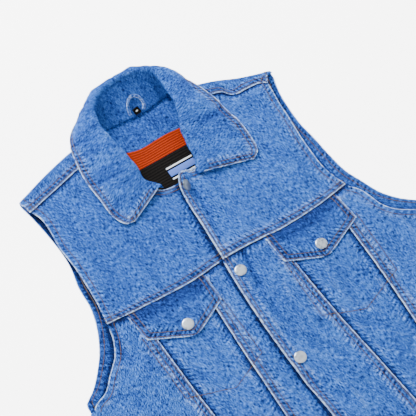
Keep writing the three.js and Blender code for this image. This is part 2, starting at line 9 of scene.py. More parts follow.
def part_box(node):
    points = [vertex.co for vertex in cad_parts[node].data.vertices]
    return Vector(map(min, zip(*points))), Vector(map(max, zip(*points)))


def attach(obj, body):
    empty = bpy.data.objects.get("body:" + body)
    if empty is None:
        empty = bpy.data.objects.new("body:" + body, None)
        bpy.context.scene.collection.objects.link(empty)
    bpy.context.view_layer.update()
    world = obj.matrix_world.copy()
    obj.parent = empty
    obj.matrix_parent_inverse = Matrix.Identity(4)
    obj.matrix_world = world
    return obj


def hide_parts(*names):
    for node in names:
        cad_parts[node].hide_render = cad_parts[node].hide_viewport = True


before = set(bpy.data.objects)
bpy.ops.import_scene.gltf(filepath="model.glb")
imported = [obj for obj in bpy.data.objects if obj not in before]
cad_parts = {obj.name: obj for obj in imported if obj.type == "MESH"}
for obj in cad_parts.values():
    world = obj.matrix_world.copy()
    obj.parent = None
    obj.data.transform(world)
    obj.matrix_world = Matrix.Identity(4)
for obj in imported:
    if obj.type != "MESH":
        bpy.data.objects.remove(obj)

bl_info = {
    "name": "Denim vest",
    "version": (1, 0, 0),
    "blender": (4, 5, 0),
    "location": "3D View > Sidebar > Vest",
    "description": "Sleeveless denim vest lying face up, with its seams, stitching and snaps",
    "category": "Object",
}

# Sizes are in millimetres on the vest's own axes: x = 0 at the centre front, y = 0 at the top snap,
# +Y to the neck, z above the surface that it lies on. L and R are the wearer's.
HEM_Y = -558.0
BAND_TOP_Y = -514.0
BACK_SEAM_Y = -20.0
UNDERARM_Y = -198.0
EDGE_HEIGHT = 6.6
FOLD_BULGE = 6.0
CLOTH = 1.5
DOUBLE = 2.4
BAND = 2.6
FRONT_WALL = 1.2
LAP_REACH = 14.0
LAP_RAISE = 3.1
BAND_LAP_RAISE = 3.9
NECK_HALF = 68.0

# Distances from an edge at which the cloth has its own columns: rolled edge, stitch rows, welt
EDGE_STEPS = np.array([0, 0.5, 1.2, 2.2, 3.2, 4.4, 5.6, 6.7, 7.7, 8.7, 9.8, 11.2, 12.8, 14.6])
# Columns that carry a row of sewing, as places in the list above
STITCH_NEAR = 4
STITCH_HEM = 8
STITCH_FAR = 9
# Distance that stands for no seam nearby
FAR = 99.0
# How far each piece's cloth is moved, so that no two show the same flecks
CLOTH_SHIFT = (137, 61)
# Below this height the back's upper face is its inside
INSIDE_TOP = 5
# Creases narrower than this have rubbed ridges
SHARP_WIDTH = 6
# Tone that the rumples and the narrow creases add: paler ridges, as rubbing and painted light, and darker
# troughs, as painted shade
RUMPLE_WEAR_AND_SHADE = 0.22
CREASE_WEAR_AND_SHADE = 0.35


# Smooth curves through short tables

def table(rows):
    """Smooth function through (x, value) rows, for single values or arrays."""
    xs, values = np.array(sorted(rows), dtype=float).T
    slopes = np.empty_like(values)
    slopes[1:-1] = (values[2:] - values[:-2]) / (xs[2:] - xs[:-2])
    slopes[0] = (values[1] - values[0]) / (xs[1] - xs[0])
    slopes[-1] = (values[-1] - values[-2]) / (xs[-1] - xs[-2])

    def value(x):
        x = np.clip(x, xs[0], xs[-1])
        i = np.clip(np.searchsorted(xs, x, side="right") - 1, 0, len(xs) - 2)
        h = xs[i + 1] - xs[i]
        t = (x - xs[i]) / h
        return ((2 * t**3 - 3 * t**2 + 1) * values[i] + (t**3 - 2 * t**2 + t) * h * slopes[i]
                + (3 * t**2 - 2 * t**3) * values[i + 1] + (t**3 - t**2) * h * slopes[i + 1])
    return value


def spline(points):
    """Centripetal curve through points, as a function of 0 to 1 that is even in the points' order."""
    p = np.array(points, dtype=float)
    p = np.vstack([2 * p[0] - p[1], p, 2 * p[-1] - p[-2]])

    def at(t):
        place = np.clip(np.asarray(t, dtype=float), 0, 1) * (len(points) - 1)
        k = np.minimum(place.astype(int), len(points) - 2)
        w = (place - k)[..., None]
        p0, p1, p2, p3 = p[k], p[k + 1], p[k + 2], p[k + 3]
        d0, d1, d2 = (np.maximum(np.linalg.norm(b - a, axis=-1) ** 0.5, 1e-4)[..., None]
                      for a, b in ((p0, p1), (p1, p2), (p2, p3)))
        m1 = ((p1 - p0) / d0 - (p2 - p0) / (d0 + d1) + (p2 - p1) / d1) * d1
        m2 = ((p2 - p1) / d1 - (p3 - p1) / (d1 + d2) + (p3 - p2) / d2) * d1
        return ((2 * w**3 - 3 * w**2 + 1) * p1 + (w**3 - 2 * w**2 + w) * m1
                + (3 * w**2 - 2 * w**3) * p2 + (w**3 - w**2) * m2)
    return at


def smooth(t):
    t = np.clip(t, 0, 1)
    return t * t * (3 - 2 * t)


def bump(distance, width):
    return np.exp(-(distance / width) ** 2)


def rim(distance, width):
    """1 up to about a width from an edge, then 0."""
    return 1 - smooth((distance - 0.7 * width) / (0.6 * width))


def uneven(s, seed=0.0):
    """Uneven wave along a seam, from -1 to 1, with puckers about 9 mm apart."""
    waves = (np.sin(s * 0.71 + seed) + 0.8 * np.sin(s * 0.53 + 2.1 * seed + 1.3)
             + 0.6 * np.sin(s * 1.07 + 3.7 * seed) + 0.5 * np.sin(s * 0.23 + seed))
    return waves / 2.2


# Form of the vest as it lies

crown = table([(HEM_Y, 9), (BAND_TOP_Y, 9.4), (-400, 11), (-250, 12), (-116, 11), (-20, 9.8), (40, 8.8),
               (100, 7.4), (140, EDGE_HEIGHT)])
spread = table([(HEM_Y, 250), (-350, 256), (UNDERARM_Y, 262), (-150, 210), (-107, 186), (0, 180), (140, 185)])
yoke_seam = table([(-188, -109), (-130, -115), (-68, -119), (-22, -115.5), (41, -116), (75, -118.5),
                   (134, -115), (178, -108)])
shoulder_seam = {
    "R": table([(-190, 79), (-178, 81.5), (-108, 100), (-66, 111)]),
    "L": table([(63, 112), (108, 102.5), (120, 97.5), (128, 87), (134, 84), (150, 84.5), (172, 82), (180, 77)]),
}
back_top = table([
    (-195.5, 95), (-154, 110), (-128, 118), (-101, 125), (-68, 131), (-56, 135), (-44, 136.5), (-22, 136),
    (4, 133.5), (28, 135.5), (50, 138.5), (58, 136), (68, 132), (100, 123), (122, 115.5), (153, 101.5),
    (195, 88)])
back_edge = {
    "R": table([(-192, -261.5), (-183, -260), (-174, -247), (-160, -233), (-136, -214.5), (-108, -200.5),
                (-78, -192), (-43, -190), (-12, -184), (18, -184), (67, -190), (94, -195.5)]),
    "L": table([(-192, 261.5), (-183, 258), (-173, 244), (-159, 228), (-139, 213), (-112, 202), (-87, 193),
                (-55, 189), (-24, 187), (6, 184), (55, 187.4), (86, 195)]),
}
side_fold = table([(HEM_Y, 243), (BAND_TOP_Y, 244), (-350, 251), (UNDERARM_Y, 257)])
front_edge = {
    "L": table([(HEM_Y, -18), (-420, -19), (-330, -22), (-250, -26), (-140, -22), (-62, -14), (8, -8)]),
    "R": table([(HEM_Y, 8), (-330, 4), (-140, 4), (-62, 9), (8, 14)]),
}
centre_seam = {
    "L": table([(BAND_TOP_Y, 84), (-398, 76), (-257, 63), (-168, 58), (-114, 56)]),
    "R": table([(BAND_TOP_Y, -84), (-334, -67), (-254, -65.5), (-166, -62), (-114, -60)]),
}
side_seam = {
    "L": table([(BAND_TOP_Y, 126), (-316, 137), (-255, 141), (-166, 144), (-114, 146)]),
    "R": table([(BAND_TOP_Y, -126), (-288, -138.5), (-254, -141), (-165, -144.5), (-114, -146)]),
}
YOKE_ARMHOLE = {
    "L": [(178.5, -106.5), (169.5, -72), (170, -22), (172, -2), (173, 8), (174.5, 22), (176, 42), (178.5, 60),
          (181, 79)],
    "R": [(-186, -107.5), (-182, -71), (-181, -19), (-182.5, 0), (-183.4, 11), (-183, 24), (-181.5, 44),
          (-182.5, 62), (-188, 80)],
}
SIDE_ARMHOLE = {
    "L": [(257, UNDERARM_Y), (233, -187), (212, -172.5), (202, -159), (191, -125), (178.5, -109.2)],
    "R": [(-257, UNDERARM_Y), (-233, -184.5), (-220, -171), (-202, -153), (-191, -131), (-186, -110.3)],
}
POCKET_LINES = {
    "L": [(47, -150), (44, -246), (97, -268), (160, -245), (165, -150)],
    "R": [(-48, -150), (-46, -246), (-97, -267), (-156, -246), (-160, -150)],
}
FLAPS = {
    "L": {"top": (43.5, 158), "bottom": [(46, -160), (97.5, -185), (161, -157)]},
    "R": {"top": (-48, -161), "bottom": [(-48.5, -160), (-101, -186), (-156.5, -156)]},
}
FLAP_LIFT = 0.95
FRONT_SNAPS = [(-1.5, -2), (-7.9, -140.3), (-11, -278), (-6, -414), (-4, -536)]
POCKET_SNAPS = {"L": (99.6, -164.5), "R": (-103, -166)}

# Creases of the front: from x, y to x, y, half width, height above the plain cloth
CREASES = [
    (-205, -165, -168, -205, 16, 2.4), (-150, -30, -120, 60, 22, 1.8), (120, -70, 150, 20, 22, 1.8),
    (30, -330, -6, -372, 18, 2.6), (170, -240, 215, -330, 24, 2.2), (-180, -300, -215, -400, 24, 2.2),
    (95, -330, 105, -470, 22, 1.6), (-100, -340, -108, -480, 22, 1.6),
]
# Finer ones: troughs have a negative height
SMALL_CREASES = [
    (-182, -118, -192, -160, 4, -1.6), (-178, -150, -150, -196, 7, -1.3), (-196, -178, -172, -232, 8, 1.4),
    (-30, -300, 6, -352, 7, -2.0), (2, -372, -14, -420, 8, 1.6), (-48, -330, -30, -392, 9, 1.3),
    (-2, -180, 22, -236, 9, 0.8), (-40, -176, -30, -230, 9, 0.9), (28, -190, 40, -300, 10, 0.8),
    (-120, -40, -60, -96, 12, 0.9), (-160, 30, -120, -70, 12, 0.8), (-96, -60, -50, -20, 12, -0.7),
    (36, -96, 120, -30, 12, 0.8), (60, -40, 140, 30, 13, 0.7), (150, -90, 158, -20, 9, -0.9),
    (20, -60, 60, -96, 10, -0.7), (168, -120, 190, -180, 8, 1.3), (176, -150, 214, -196, 9, -1.1),
    (200, -230, 160, -300, 12, 1.0), (-224, -230, -170, -300, 12, 1.1), (-236, -300, -200, -420, 12, 0.9),
    (230, -300, 196, -420, 12, 0.9), (60, -280, 74, -420, 8, 0.7), (-76, -290, -84, -430, 9, 0.7),
    (150, -330, 140, -460, 9, 0.8), (-150, -360, -138, -500, 9, 0.8), (20, -420, 30, -500, 10, 0.8),
    (-200, -460, -150, -496, 12, 0.9), (190, -450, 150, -500, 12, 0.9), (-170, 70, -110, 84, 9, 0.8),
    (100, 76, 160, 66, 9, 0.8), (132, 84, 146, 58, 6, 1.3), (6, -8, 3, -48, 2.6, -1.7),
    (3, -48, -4, -88, 2.4, -1.2), (10, -120, 2, -168, 3.2, -1.5),
    (2, -168, -1, -225, 4, -0.8), (-4, -12, -8, -90, 3.5, 0.5), (112, 90, 120, 60, 7, -0.8),
]


def crease(x, y, x0, y0, x1, y1, width, height):
    """Height that one row of a crease table adds."""
    dx, dy = x1 - x0, y1 - y0
    t = np.clip(((x - x0) * dx + (y - y0) * dy) / (dx * dx + dy * dy), 0, 1)
    distance = np.hypot(x - x0 - t * dx, y - y0 - t * dy)
    return height * bump(distance, width)


def soft_waves(x, y):
    """Slow unevenness of cloth that isn't pulled flat."""
    return (0.35 * np.sin(x * 0.043 + y * 0.021 + 0.6) + 0.3 * np.sin(x * 0.019 - y * 0.052 + 2.0)
            + 0.2 * np.sin(x * 0.094 + y * 0.061) + 0.16 * np.sin(y * 0.11 - x * 0.083 + 1.0))


def rumple(x, y):
    """Soft ridges that wander and meet, deeper below the yokes."""
    across = np.sin(x * 0.071 + y * 0.034 + 2.2 * np.sin(y * 0.027 + x * 0.011 + 1.0))
    down = np.sin(y * 0.063 - x * 0.022 + 1.9 * np.sin(x * 0.031 - y * 0.013 + 0.4))
    ridges = (1 - np.abs(across)) ** 3 - 0.8 * (1 - np.abs(down)) ** 4
    return (0.45 + 0.35 * smooth((-60 - y) / 80)) * ridges


def front_height(x, y):
    """Inside of the front layer, as in the solids."""
    reach = np.minimum(1, np.abs(x) / spread(y))
    z = EDGE_HEIGHT + (crown(y) - EDGE_HEIGHT) * (1 - reach**2.5)
    for row in CREASES:
        z = z + crease(x, y, *row)
    return z


def small_relief(x, y):
    """Finer relief of the cloth, added to the solids' form."""
    z = soft_waves(x, y) + rumple(x, y)
    for row in SMALL_CREASES:
        z = z + 1.8 * crease(x, y, *row)
    return z


def sharp_creases(x, y):
    """The narrow creases alone, which also mark the tone: ridges paler, as rubbing and painted light, and
    troughs painted shade.
    """
    return sum(crease(x, y, *row) for row in SMALL_CREASES if row[4] < SHARP_WIDTH)


def lap_height(x, raise_by):
    """How far the left front is raised where it lies over the right one."""
    return raise_by * (1 - smooth((x - LAP_REACH) / (2 * LAP_REACH)))


def corner_lift(x, y):
    """Top of the left front edge, which curls up beside its snap."""
    return 10.0 * bump(x + 3, 13) * bump(y - 15, 15)


def front_lap(x, y):
    return lap_height(x, LAP_RAISE + (BAND_LAP_RAISE - LAP_RAISE) * smooth((-400 - y) / 100))


def line_distance(x, y, points):
    """Distance to a line through points, and how far along it the nearest place is."""
    best = np.full(np.shape(x), 1e9)
    along = np.zeros(np.shape(x))
    start = 0.0
    for (x0, y0), (x1, y1) in zip(points, points[1:]):
        dx, dy = x1 - x0, y1 - y0
        length = math.hypot(dx, dy)
        t = np.clip(((x - x0) * dx + (y - y0) * dy) / length**2, 0, 1)
        distance = np.hypot(x - x0 - t * dx, y - y0 - t * dy)
        nearer = distance < best
        best = np.where(nearer, distance, best)
        along = np.where(nearer, start + t * length, along)
        start += length
    return best, along


# Seams. Each mark of a point is its wear and painted shade (1 white, -1 dark indigo), how much its cloth is
# gathered, and its place along and its distance from the nearest seam.

# Each kind has its turned-in layers (height, where they end, over what width), its edge's wear (strength,
# width) and rows of (distance from the edge, half width, amount) for its height, puckers, wear and gathers.
# Negative amounts in the wear rows are painted shade in the grooves and troughs by the sewing; positive ones
# are rubbed pale cloth. A negative edge, as on under and beside, is unworn indigo and painted shadow of the
# edge that lies over or beside the cloth.
SEAMS = {
    "lap": {
        "layers": (1.5, 9, 4.5), "edge": (1.25, 1.5),
        "height": [(0, 0.8, -0.7), (3.2, 0.8, -0.5), (8.7, 0.8, -0.5)],
        "swell": [(5.4, 2.4, 0.32), (12.5, 3, 0.3)],
        "wear_and_shade": [(3.2, 0.8, -0.75), (8.7, 0.8, -0.65), (12.5, 3, 0.3)],
        "gather": [(5.8, 3.1, 1), (12, 4, 0.7)]},
    "double": {
        "layers": (0, 9, 4.5), "edge": (1.25, 1.6),
        "height": [(0, 0.8, -0.6), (3.2, 0.8, -0.5), (8.7, 0.8, -0.5)],
        "swell": [(5.4, 2.4, 0.42), (12.5, 3.5, 0.35)],
        "wear_and_shade": [(3.2, 0.8, -0.7), (8.7, 0.8, -0.6), (12.5, 3.2, 0.27)],
        "gather": [(5.8, 3.1, 1), (12.5, 4.5, 0.75)]},
    "hem": {
        "layers": (0.7, 8.4, 3.4), "edge": (1.1, 1.3),
        "height": [(0, 0.9, -0.7), (7.7, 0.8, -0.4)],
        "swell": [(4.4, 2.6, 0.32), (11, 3, 0.25)],
        "wear_and_shade": [(4, 2.4, 0.08), (7.7, 0.8, -0.6), (11, 2.6, 0.22)],
        "gather": [(4.4, 3, 0.65), (11, 3.6, 0.6)]},
    "placket": {
        "layers": (1, 8.4, 3), "edge": (1.2, 2.1),
        "height": [(0, 0.6, -0.9), (1.2, 1.4, 0.6), (3.2, 0.8, -0.5), (7.7, 0.8, -0.4)],
        "swell": [(5.4, 2, 0.4), (11, 3, 0.3)],
        "wear_and_shade": [(3.2, 0.7, -0.7), (5.4, 1.6, 0.2), (7.7, 0.8, -0.6), (10.4, 1.5, -0.3), (13, 2.5, 0.35)],
        "gather": [(5.2, 2.6, 0.8), (11, 3.6, 0.7)]},
    # Under: its dark edge and band are unworn indigo and painted shadow of the lapping piece's edge
    "under": {
        "layers": (-0.3, 0.7, 0.6), "edge": (-1.5, 2.8), "height": [], "swell": [(5, 4, 0.25)],
        "wear_and_shade": [(3.4, 2.6, -0.35), (9, 3, 0.2)], "gather": [(6.5, 4.5, 0.75)]},
    # Beside: its dark edge is unworn indigo and painted shadow of the edge lying next to it
    "beside": {
        "layers": (0, 1, 1), "edge": (-1.4, 2.8), "height": [], "swell": [],
        "wear_and_shade": [(3.4, 3, -0.35)], "gather": [(7, 4, 0.6)]},
    # Line: its dark mark is painted shade in the sewn groove
    "line": {
        "layers": (0, 1, 1), "edge": (0, 1), "height": [(0, 1.1, -0.45)], "swell": [(4, 3.5, 0.2)],
        "wear_and_shade": [(0, 1, -0.45), (3, 2, 0.18)], "gather": [(3.6, 3, 0.6)]},
}
UNDER_DROP = 2.4


def seam(kind, distance, along, seed):
    """Height above the plain cloth, worn pallor and painted shade, and gathering at a distance from an edge."""
    form = SEAMS[kind]
    height, swell, wear_and_shade, gather = (
        sum(amount * bump(distance - place, width) for place, width, amount in form[part])
        for part in ("height", "swell", "wear_and_shade", "gather"))
    layers, end, slope = form["layers"]
    height = height + layers * (1 - smooth((distance - end) / slope))
    strength, width = form["edge"]
    frayed = 0.94 + 0.28 * uneven(along * 0.41, seed + 5) if strength > 0 else 1
    height = height + uneven(along + 0.6 * distance, seed) * swell
    return height, wear_and_shade + strength * frayed * rim(distance, width), gather


def join_seams(shape, sides):
    """Height and marks of cloth beside several edges, each given as kind, distance, run and seed."""
    height = np.zeros(shape)
    marks = np.zeros((*shape, 4))
    marks[..., 3] = FAR
    for kind, distance, along, seed in sides:
        if kind == "plain":
            continue
        step, wear_and_shade, gather = seam(kind, distance, along, seed)
        height = np.where(np.abs(step) > np.abs(height), step, height)
        marks[..., 0] += wear_and_shade
        marks[..., 1] = np.maximum(marks[..., 1], gather)
        nearer = distance < marks[..., 3]
        marks[..., 2] = np.where(nearer, along + 0.5 * distance + CLOTH_SHIFT[0] * seed, marks[..., 2])
        marks[..., 3] = np.where(nearer, distance, marks[..., 3])
    for kind, distance, _, _ in sides:
        if kind == "under":
            height = height - UNDER_DROP * smooth(-distance / 3)
    return height, marks


# Grids and meshes

def pair_places(length, a, b, middle_step):
    """Columns of each row: fixed steps beside both edges and even ones between, in mm from edge a."""
    begin = edge_places(a)
    end = edge_places(b)
    count = max(2, int(np.max(length) / middle_step))
    middle = np.linspace(0, 1, count + 2)[1:-1]
    first, last = begin[-1], length[:, None] - end[-1]
    return np.hstack([np.repeat(begin[None], len(length), 0), first + (last - first) * middle,
                      length[:, None] - end[::-1][None]])


def edge_places(kind):
    if kind == "under":
        return np.concatenate([[-6, -3], EDGE_STEPS[[0, 2, 4, 6, 9, 12]]])
    if kind in ("lap", "hem", "placket"):
        return EDGE_STEPS
    return np.array([0.0, 4.0])


def to_frame(points):
    """Vest millimetres to the frame's metres."""
    low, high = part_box("waistband_back")
    shift = np.array([(low[0] + high[0]) / 2, low[1] - HEM_Y / 1000, 0])
    return np.asarray(points) / 1000 + shift


def sheet_mesh(name, points, marks, uv, keep=None, flip=False):
    """Mesh of a grid of points, with the cloth's own coordinates as its UV map, and its marks."""
    rows, columns = points.shape[:2]
    index = np.arange(rows * columns).reshape(rows, columns)
    quads = np.stack([index[:-1, :-1], index[:-1, 1:], index[1:, 1:], index[1:, :-1]], -1)
    if keep is not None:
        quads = quads[keep]
    quads = quads.reshape(-1, 4)
    if flip:
        quads = quads[:, ::-1]
    used = np.unique(quads)
    place = np.zeros(rows * columns, dtype=int)
    place[used] = np.arange(len(used))
    mesh = bpy.data.meshes.new(name)
    mesh.from_pydata(to_frame(points.reshape(-1, 3)[used]).tolist(), [], place[quads].tolist())
    marks = marks.reshape(-1, 4)
    for layer_name, values in (("cloth", uv.reshape(-1, 2)), ("seam", marks[:, 2:])):
        layer = mesh.uv_layers.new(name=layer_name)
        layer.data.foreach_set("uv", (values / 1000)[quads.ravel()].astype(np.float32).ravel())
    # The wear mark also carries painted shade and painted light that the pieces add
    for column, mark in enumerate(("wear_and_shade", "gather")):
        attribute = mesh.attributes.new(mark, "FLOAT", "POINT")
        attribute.data.foreach_set("value", np.clip(marks[used, column], -1.5, 1.5).astype(np.float32))
    mesh.update()
    return mesh


def plain_marks(wear_and_shade):
    """Marks of cloth with no seam nearby."""
    marks = np.zeros((*np.shape(wear_and_shade), 4))
    marks[..., 0] = wear_and_shade
    marks[..., 3] = FAR
    return marks


def armhole_shade(x, y):
    """Painted shade on the inside of the back: deep blue at the armholes, darkest beside the front's edge,
    where its shadow falls.
    """
    shade = 0.3 * (x < -120) + 0.15 * (x > 120)
    for side, depth in (("L", 0.9), ("R", 1.4)):
        shade = shade + depth * bump(line_distance(x, y, SIDE_ARMHOLE[side] + YOKE_ARMHOLE[side])[0] - 1.5, 2.8)
    return -shade


def add_piece(name, mesh, material):
    piece = bpy.data.objects.new(name, mesh)
    bpy.context.collection.objects.link(piece)
    mesh.materials.append(material)
    mesh.shade_smooth()
    return piece


def stand_for(piece, nodes):
    """Lets a piece stand for its solids."""
    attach(piece, "root")
    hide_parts(*nodes)


def apply_modifiers(piece):
    """Puts the finished mesh in the piece's place and removes what made it."""
    depsgraph = bpy.context.evaluated_depsgraph_get()
    made = bpy.data.meshes.new_from_object(piece.evaluated_get(depsgraph))
    piece.modifiers.clear()
    piece.data = made
    return made


def finish_cloth(name, mesh, thickness, material, nodes,
                 inside=None):
    """Gives a sheet its thickness, its name and material, and lets it stand for its solids."""
    piece = add_piece(name, mesh, material)
    solid = piece.modifiers.new("Thickness", "SOLIDIFY")
    solid.thickness = thickness / 1000
    solid.offset = -1
    made = apply_modifiers(piece)
    # inside gives painted shade, added to the upward faces of the back's inside
    if inside is not None:
        places, normals = np.empty((2, len(made.vertices) * 3))
        wear_and_shade = np.empty(len(made.vertices))
        made.vertices.foreach_get("co", places)
        made.vertices.foreach_get("normal", normals)
        made.attributes["wear_and_shade"].data.foreach_get("value", wear_and_shade)
        x, y, z = ((places.reshape(-1, 3) - to_frame((0, 0, 0))) * 1000).T
        shown = (normals[2::3] > 0.3) & (z < INSIDE_TOP)
        made.attributes["wear_and_shade"].data.foreach_set("value", (wear_and_shade + shown * inside(x, y)).astype(np.float32))
    stand_for(piece, nodes)
    return piece


def length_along(points):
    """Distance along a line at each of its points."""
    steps = np.linalg.norm(np.diff(points, axis=0), axis=1)
    return np.concatenate([[0], np.cumsum(steps)])


STITCH_ROWS = []
ROWS = {"lap": (STITCH_NEAR, STITCH_FAR), "hem": (STITCH_HEM,), "placket": (STITCH_NEAR, STITCH_HEM)}


def stitch_row(points, lift=0.25):
    """Keeps a row of sewing, to be stitched at the end."""
    row = np.array(points, dtype=float)
    row[:, 2] += lift
    STITCH_ROWS.append(to_frame(row))


# Front pieces

def front_piece(name, edge_a, edge_b, kinds, bottom=None, top=None, lift=None, thickness=CLOTH, wrap_at=None,
                seed=0.0, row_step=2.0, column_step=2.4, tint=0.12):
    """Cloth between two edge curves; kinds gives the seams at a, b, bottom and top."""
    curve_a, curve_b = spline(edge_a), spline(edge_b)
    ts = np.linspace(0, 1, 400)
    middle = (curve_a(ts) + curve_b(ts)) / 2
    run = length_along(middle)
    places = pair_places(np.array([run[-1]]), kinds["bottom"], kinds["top"], row_step)[0]
    inside = np.clip(places, 0, run[-1])
    t = np.interp(inside, run, ts)
    over = places - inside
    if wrap_at is not None:
        t[np.argmin(np.abs(t - wrap_at))] = wrap_at
    a, b = curve_a(t), curve_b(t)
    length = np.linalg.norm(b - a, axis=1)
    across = pair_places(length, kinds["a"], kinds["b"], column_step)
    u = across / length[:, None]
    x = a[:, 0, None] + (b - a)[:, 0, None] * u
    y = a[:, 1, None] + (b - a)[:, 1, None] * u
    if bottom is not None:
        y = y + (bottom(x[0]) - y[0]) * (1 - t[:, None]) ** 4
    if top is not None:
        y = y + (top(x[-1]) - y[-1]) * t[:, None] ** 6
    y = y + over[:, None]
    z = front_height(x, y) + small_relief(x, y) + (lift(x, y) if lift else 0)

    lines = {"a": curve_a(ts[::8]), "b": curve_b(ts[::8])}
    to_a = line_distance(x, y, lines["a"])[0] * np.where(across < 0, -1, 1)
    to_b = line_distance(x, y, lines["b"])[0] * np.where(across > length[:, None], -1, 1)
    distances = {
        "a": to_a, "b": to_b, "bottom": np.repeat(places[:, None], across.shape[1], 1),
        "top": np.repeat((run[-1] - places)[:, None], across.shape[1], 1),
    }
    wrapped = t <= (wrap_at if wrap_at is not None else -1) + 1e-9
    if wrap_at is not None:
        distances["b"] = np.where(wrapped[:, None], FAR, distances["b"])
    sides = [(kind, distances[side], y if side in "ab" else x, seed + number)
             for number, (side, kind) in enumerate(kinds.items())]
    left = x > 0
    bag = [np.where(left, *both) for both in zip(line_distance(x, y, POCKET_LINES["L"]),
                                                 line_distance(x, y, POCKET_LINES["R"]))]
    sides.append(("line", *bag, 4.0))
    # On the right pieces, a dark band beside the left front's edge: painted shadow of that edge, with unworn
    # indigo
    if np.mean(x) < 0:
        sides.append(("beside", np.abs(front_edge["L"](y) - x), y, seed + 9))
    height, marks = join_seams(x.shape, sides)
    z = z + height
    # The tone follows the relief: paler ridges are rubbing and painted light, darker troughs are painted shade
    marks[..., 0] += RUMPLE_WEAR_AND_SHADE * rumple(x, y) + CREASE_WEAR_AND_SHADE * sharp_creases(x, y) + tint
    outer = np.stack([x, y, z + thickness], -1)
    uv = outer[..., :2] + np.array(CLOTH_SHIFT) * seed
    keep = None
    if wrap_at is not None:
        outer, marks, keep = add_fold(outer, marks, wrapped)
        girth = np.cumsum(np.linalg.norm(np.diff(outer, axis=1, prepend=outer[:, :1]), axis=2), axis=1)
        uv = np.stack([girth + outer[:, :1, 0], outer[..., 1]], -1) + np.array(CLOTH_SHIFT) * seed
    flip = np.mean(b[:, 0] - a[:, 0]) < 0
    mesh = sheet_mesh(name, outer, marks, uv, keep, flip)
    for side, kind in kinds.items():
        for k in ROWS.get(kind, ()):
            if side in "ab":
                start = wrap_at if side == "b" and wrap_at is not None else 0
                line = {"a": curve_a, "b": curve_b}[side](np.linspace(start, 1, 60))
                stitch_on_surface(inset_line(line, EDGE_STEPS[k], middle.mean(axis=0)), mesh)
            else:
                row = outer[k if side == "bottom" else -1 - k]
                stitch_row(row[:across.shape[1]])
    return mesh


SIDE_FOLD_STEPS = 14


def add_fold(outer, marks, wrapped):
    """Turns the wrapped rows round the side fold, down to the surface."""
    top = outer[:, -1]
    side = np.sign(top[:, 0])
    radius = top[:, 2] / 2
    steps = SIDE_FOLD_STEPS
    angles = math.pi / 2 - math.pi * np.arange(1, steps + 1) / steps
    turn = np.stack([
        top[:, None, 0] + side[:, None] * FOLD_BULGE * np.cos(angles),
        np.repeat(top[:, None, 1], steps, 1),
        radius[:, None] * (1 + np.sin(angles)),
    ], -1)
    flat = outer.shape[1] - 1
    outer = np.concatenate([outer, turn], 1)
    turned = np.repeat(marks[:, -1:], steps, 1)
    turned[..., 0] += 0.3 * np.cos(angles)
    marks = np.concatenate([marks, turned], 1)
    keep = np.ones((outer.shape[0] - 1, outer.shape[1] - 1), dtype=bool)
    keep[:, flat:] = (wrapped[:-1] & wrapped[1:])[:, None]
    return outer, marks, keep


def levels(function, ys):
    return [(float(function(y)), y) for y in ys]


YOKE_FRONT = {
    "L": [(-18, -116), (-14, -62), (-11.5, -17), (-7, 8), (1, 18), (22, 15), (44, 38), (56, 72), (63, 112)],
    "R": [(5, -116), (9, -62), (12, -17), (14, 2), (0, 9), (-28, 14), (-48, 38), (-60, 72), (-66, 111)],
}


def build_yokes(denim):
    """Chest panels above the yoke seam; the left one laps over the right."""
    kinds = {"a": "placket", "b": "hem", "bottom": "lap", "top": "under"}
    for side, name, lift, seed, tint, area in (
            ("L", "left", lambda x, y: lap_height(x, LAP_RAISE) + corner_lift(x, y), 1.0, 0.1, 0.0369),
            ("R", "right", None, 2.0, 0.0, 0.0373)):
        mesh = front_piece(f"front yoke {name}", YOKE_FRONT[side], YOKE_ARMHOLE[side], kinds, yoke_seam,
                           shoulder_seam[side], lift, seed=seed, tint=tint)
        finish_cloth(f"yoke_{name}", mesh, FRONT_WALL, denim, [f"front_yoke_{side}"])


def build_panels(denim):
    """Centre, middle and side panels of both fronts, below the yoke seam."""
    ys = [BAND_TOP_Y, -460, -400, -340, -280, -230, -170, -116]

    def band_line(x):
        return BAND_TOP_Y + 0 * x
    side_ys = [BAND_TOP_Y, -460, -400, -340, -280, -240, -206, -184, -164, -136, -116]
    for number, side in enumerate("LR"):
        sign = 1 if side == "L" else -1
        lift = front_lap if side == "L" else None
        seed = 3.0 + 3 * number
        mesh = front_piece(
            f"front centre {side}", levels(front_edge[side], ys), levels(centre_seam[side], ys),
            {"a": "placket", "b": "lap", "bottom": "under", "top": "under"}, band_line,
            yoke_seam, lift, seed=seed)
        finish_cloth(f"centre_{side}", mesh, FRONT_WALL, denim, [f"front_centre_{side}"])
        mesh = front_piece(
            f"front middle {side}", levels(centre_seam[side], ys), levels(side_seam[side], ys),
            {"a": "under", "b": "under", "bottom": "under", "top": "under"}, band_line,
            yoke_seam, seed=seed + 1)
        finish_cloth(f"middle_{side}", mesh, FRONT_WALL, denim, [f"front_mid_{side}"])
        fold = levels(side_fold, side_ys[:5])
        mesh = front_piece(
            f"front side {side}", levels(side_seam[side], side_ys),
            [(sign * x, y) for x, y in fold] + SIDE_ARMHOLE[side],
            {"a": "lap", "b": "hem", "bottom": "under", "top": "under"}, band_line,
            wrap_at=5 / 10, seed=seed + 2)
        finish_cloth(f"side_{side}", mesh, FRONT_WALL, denim, [f"front_side_{side}"])


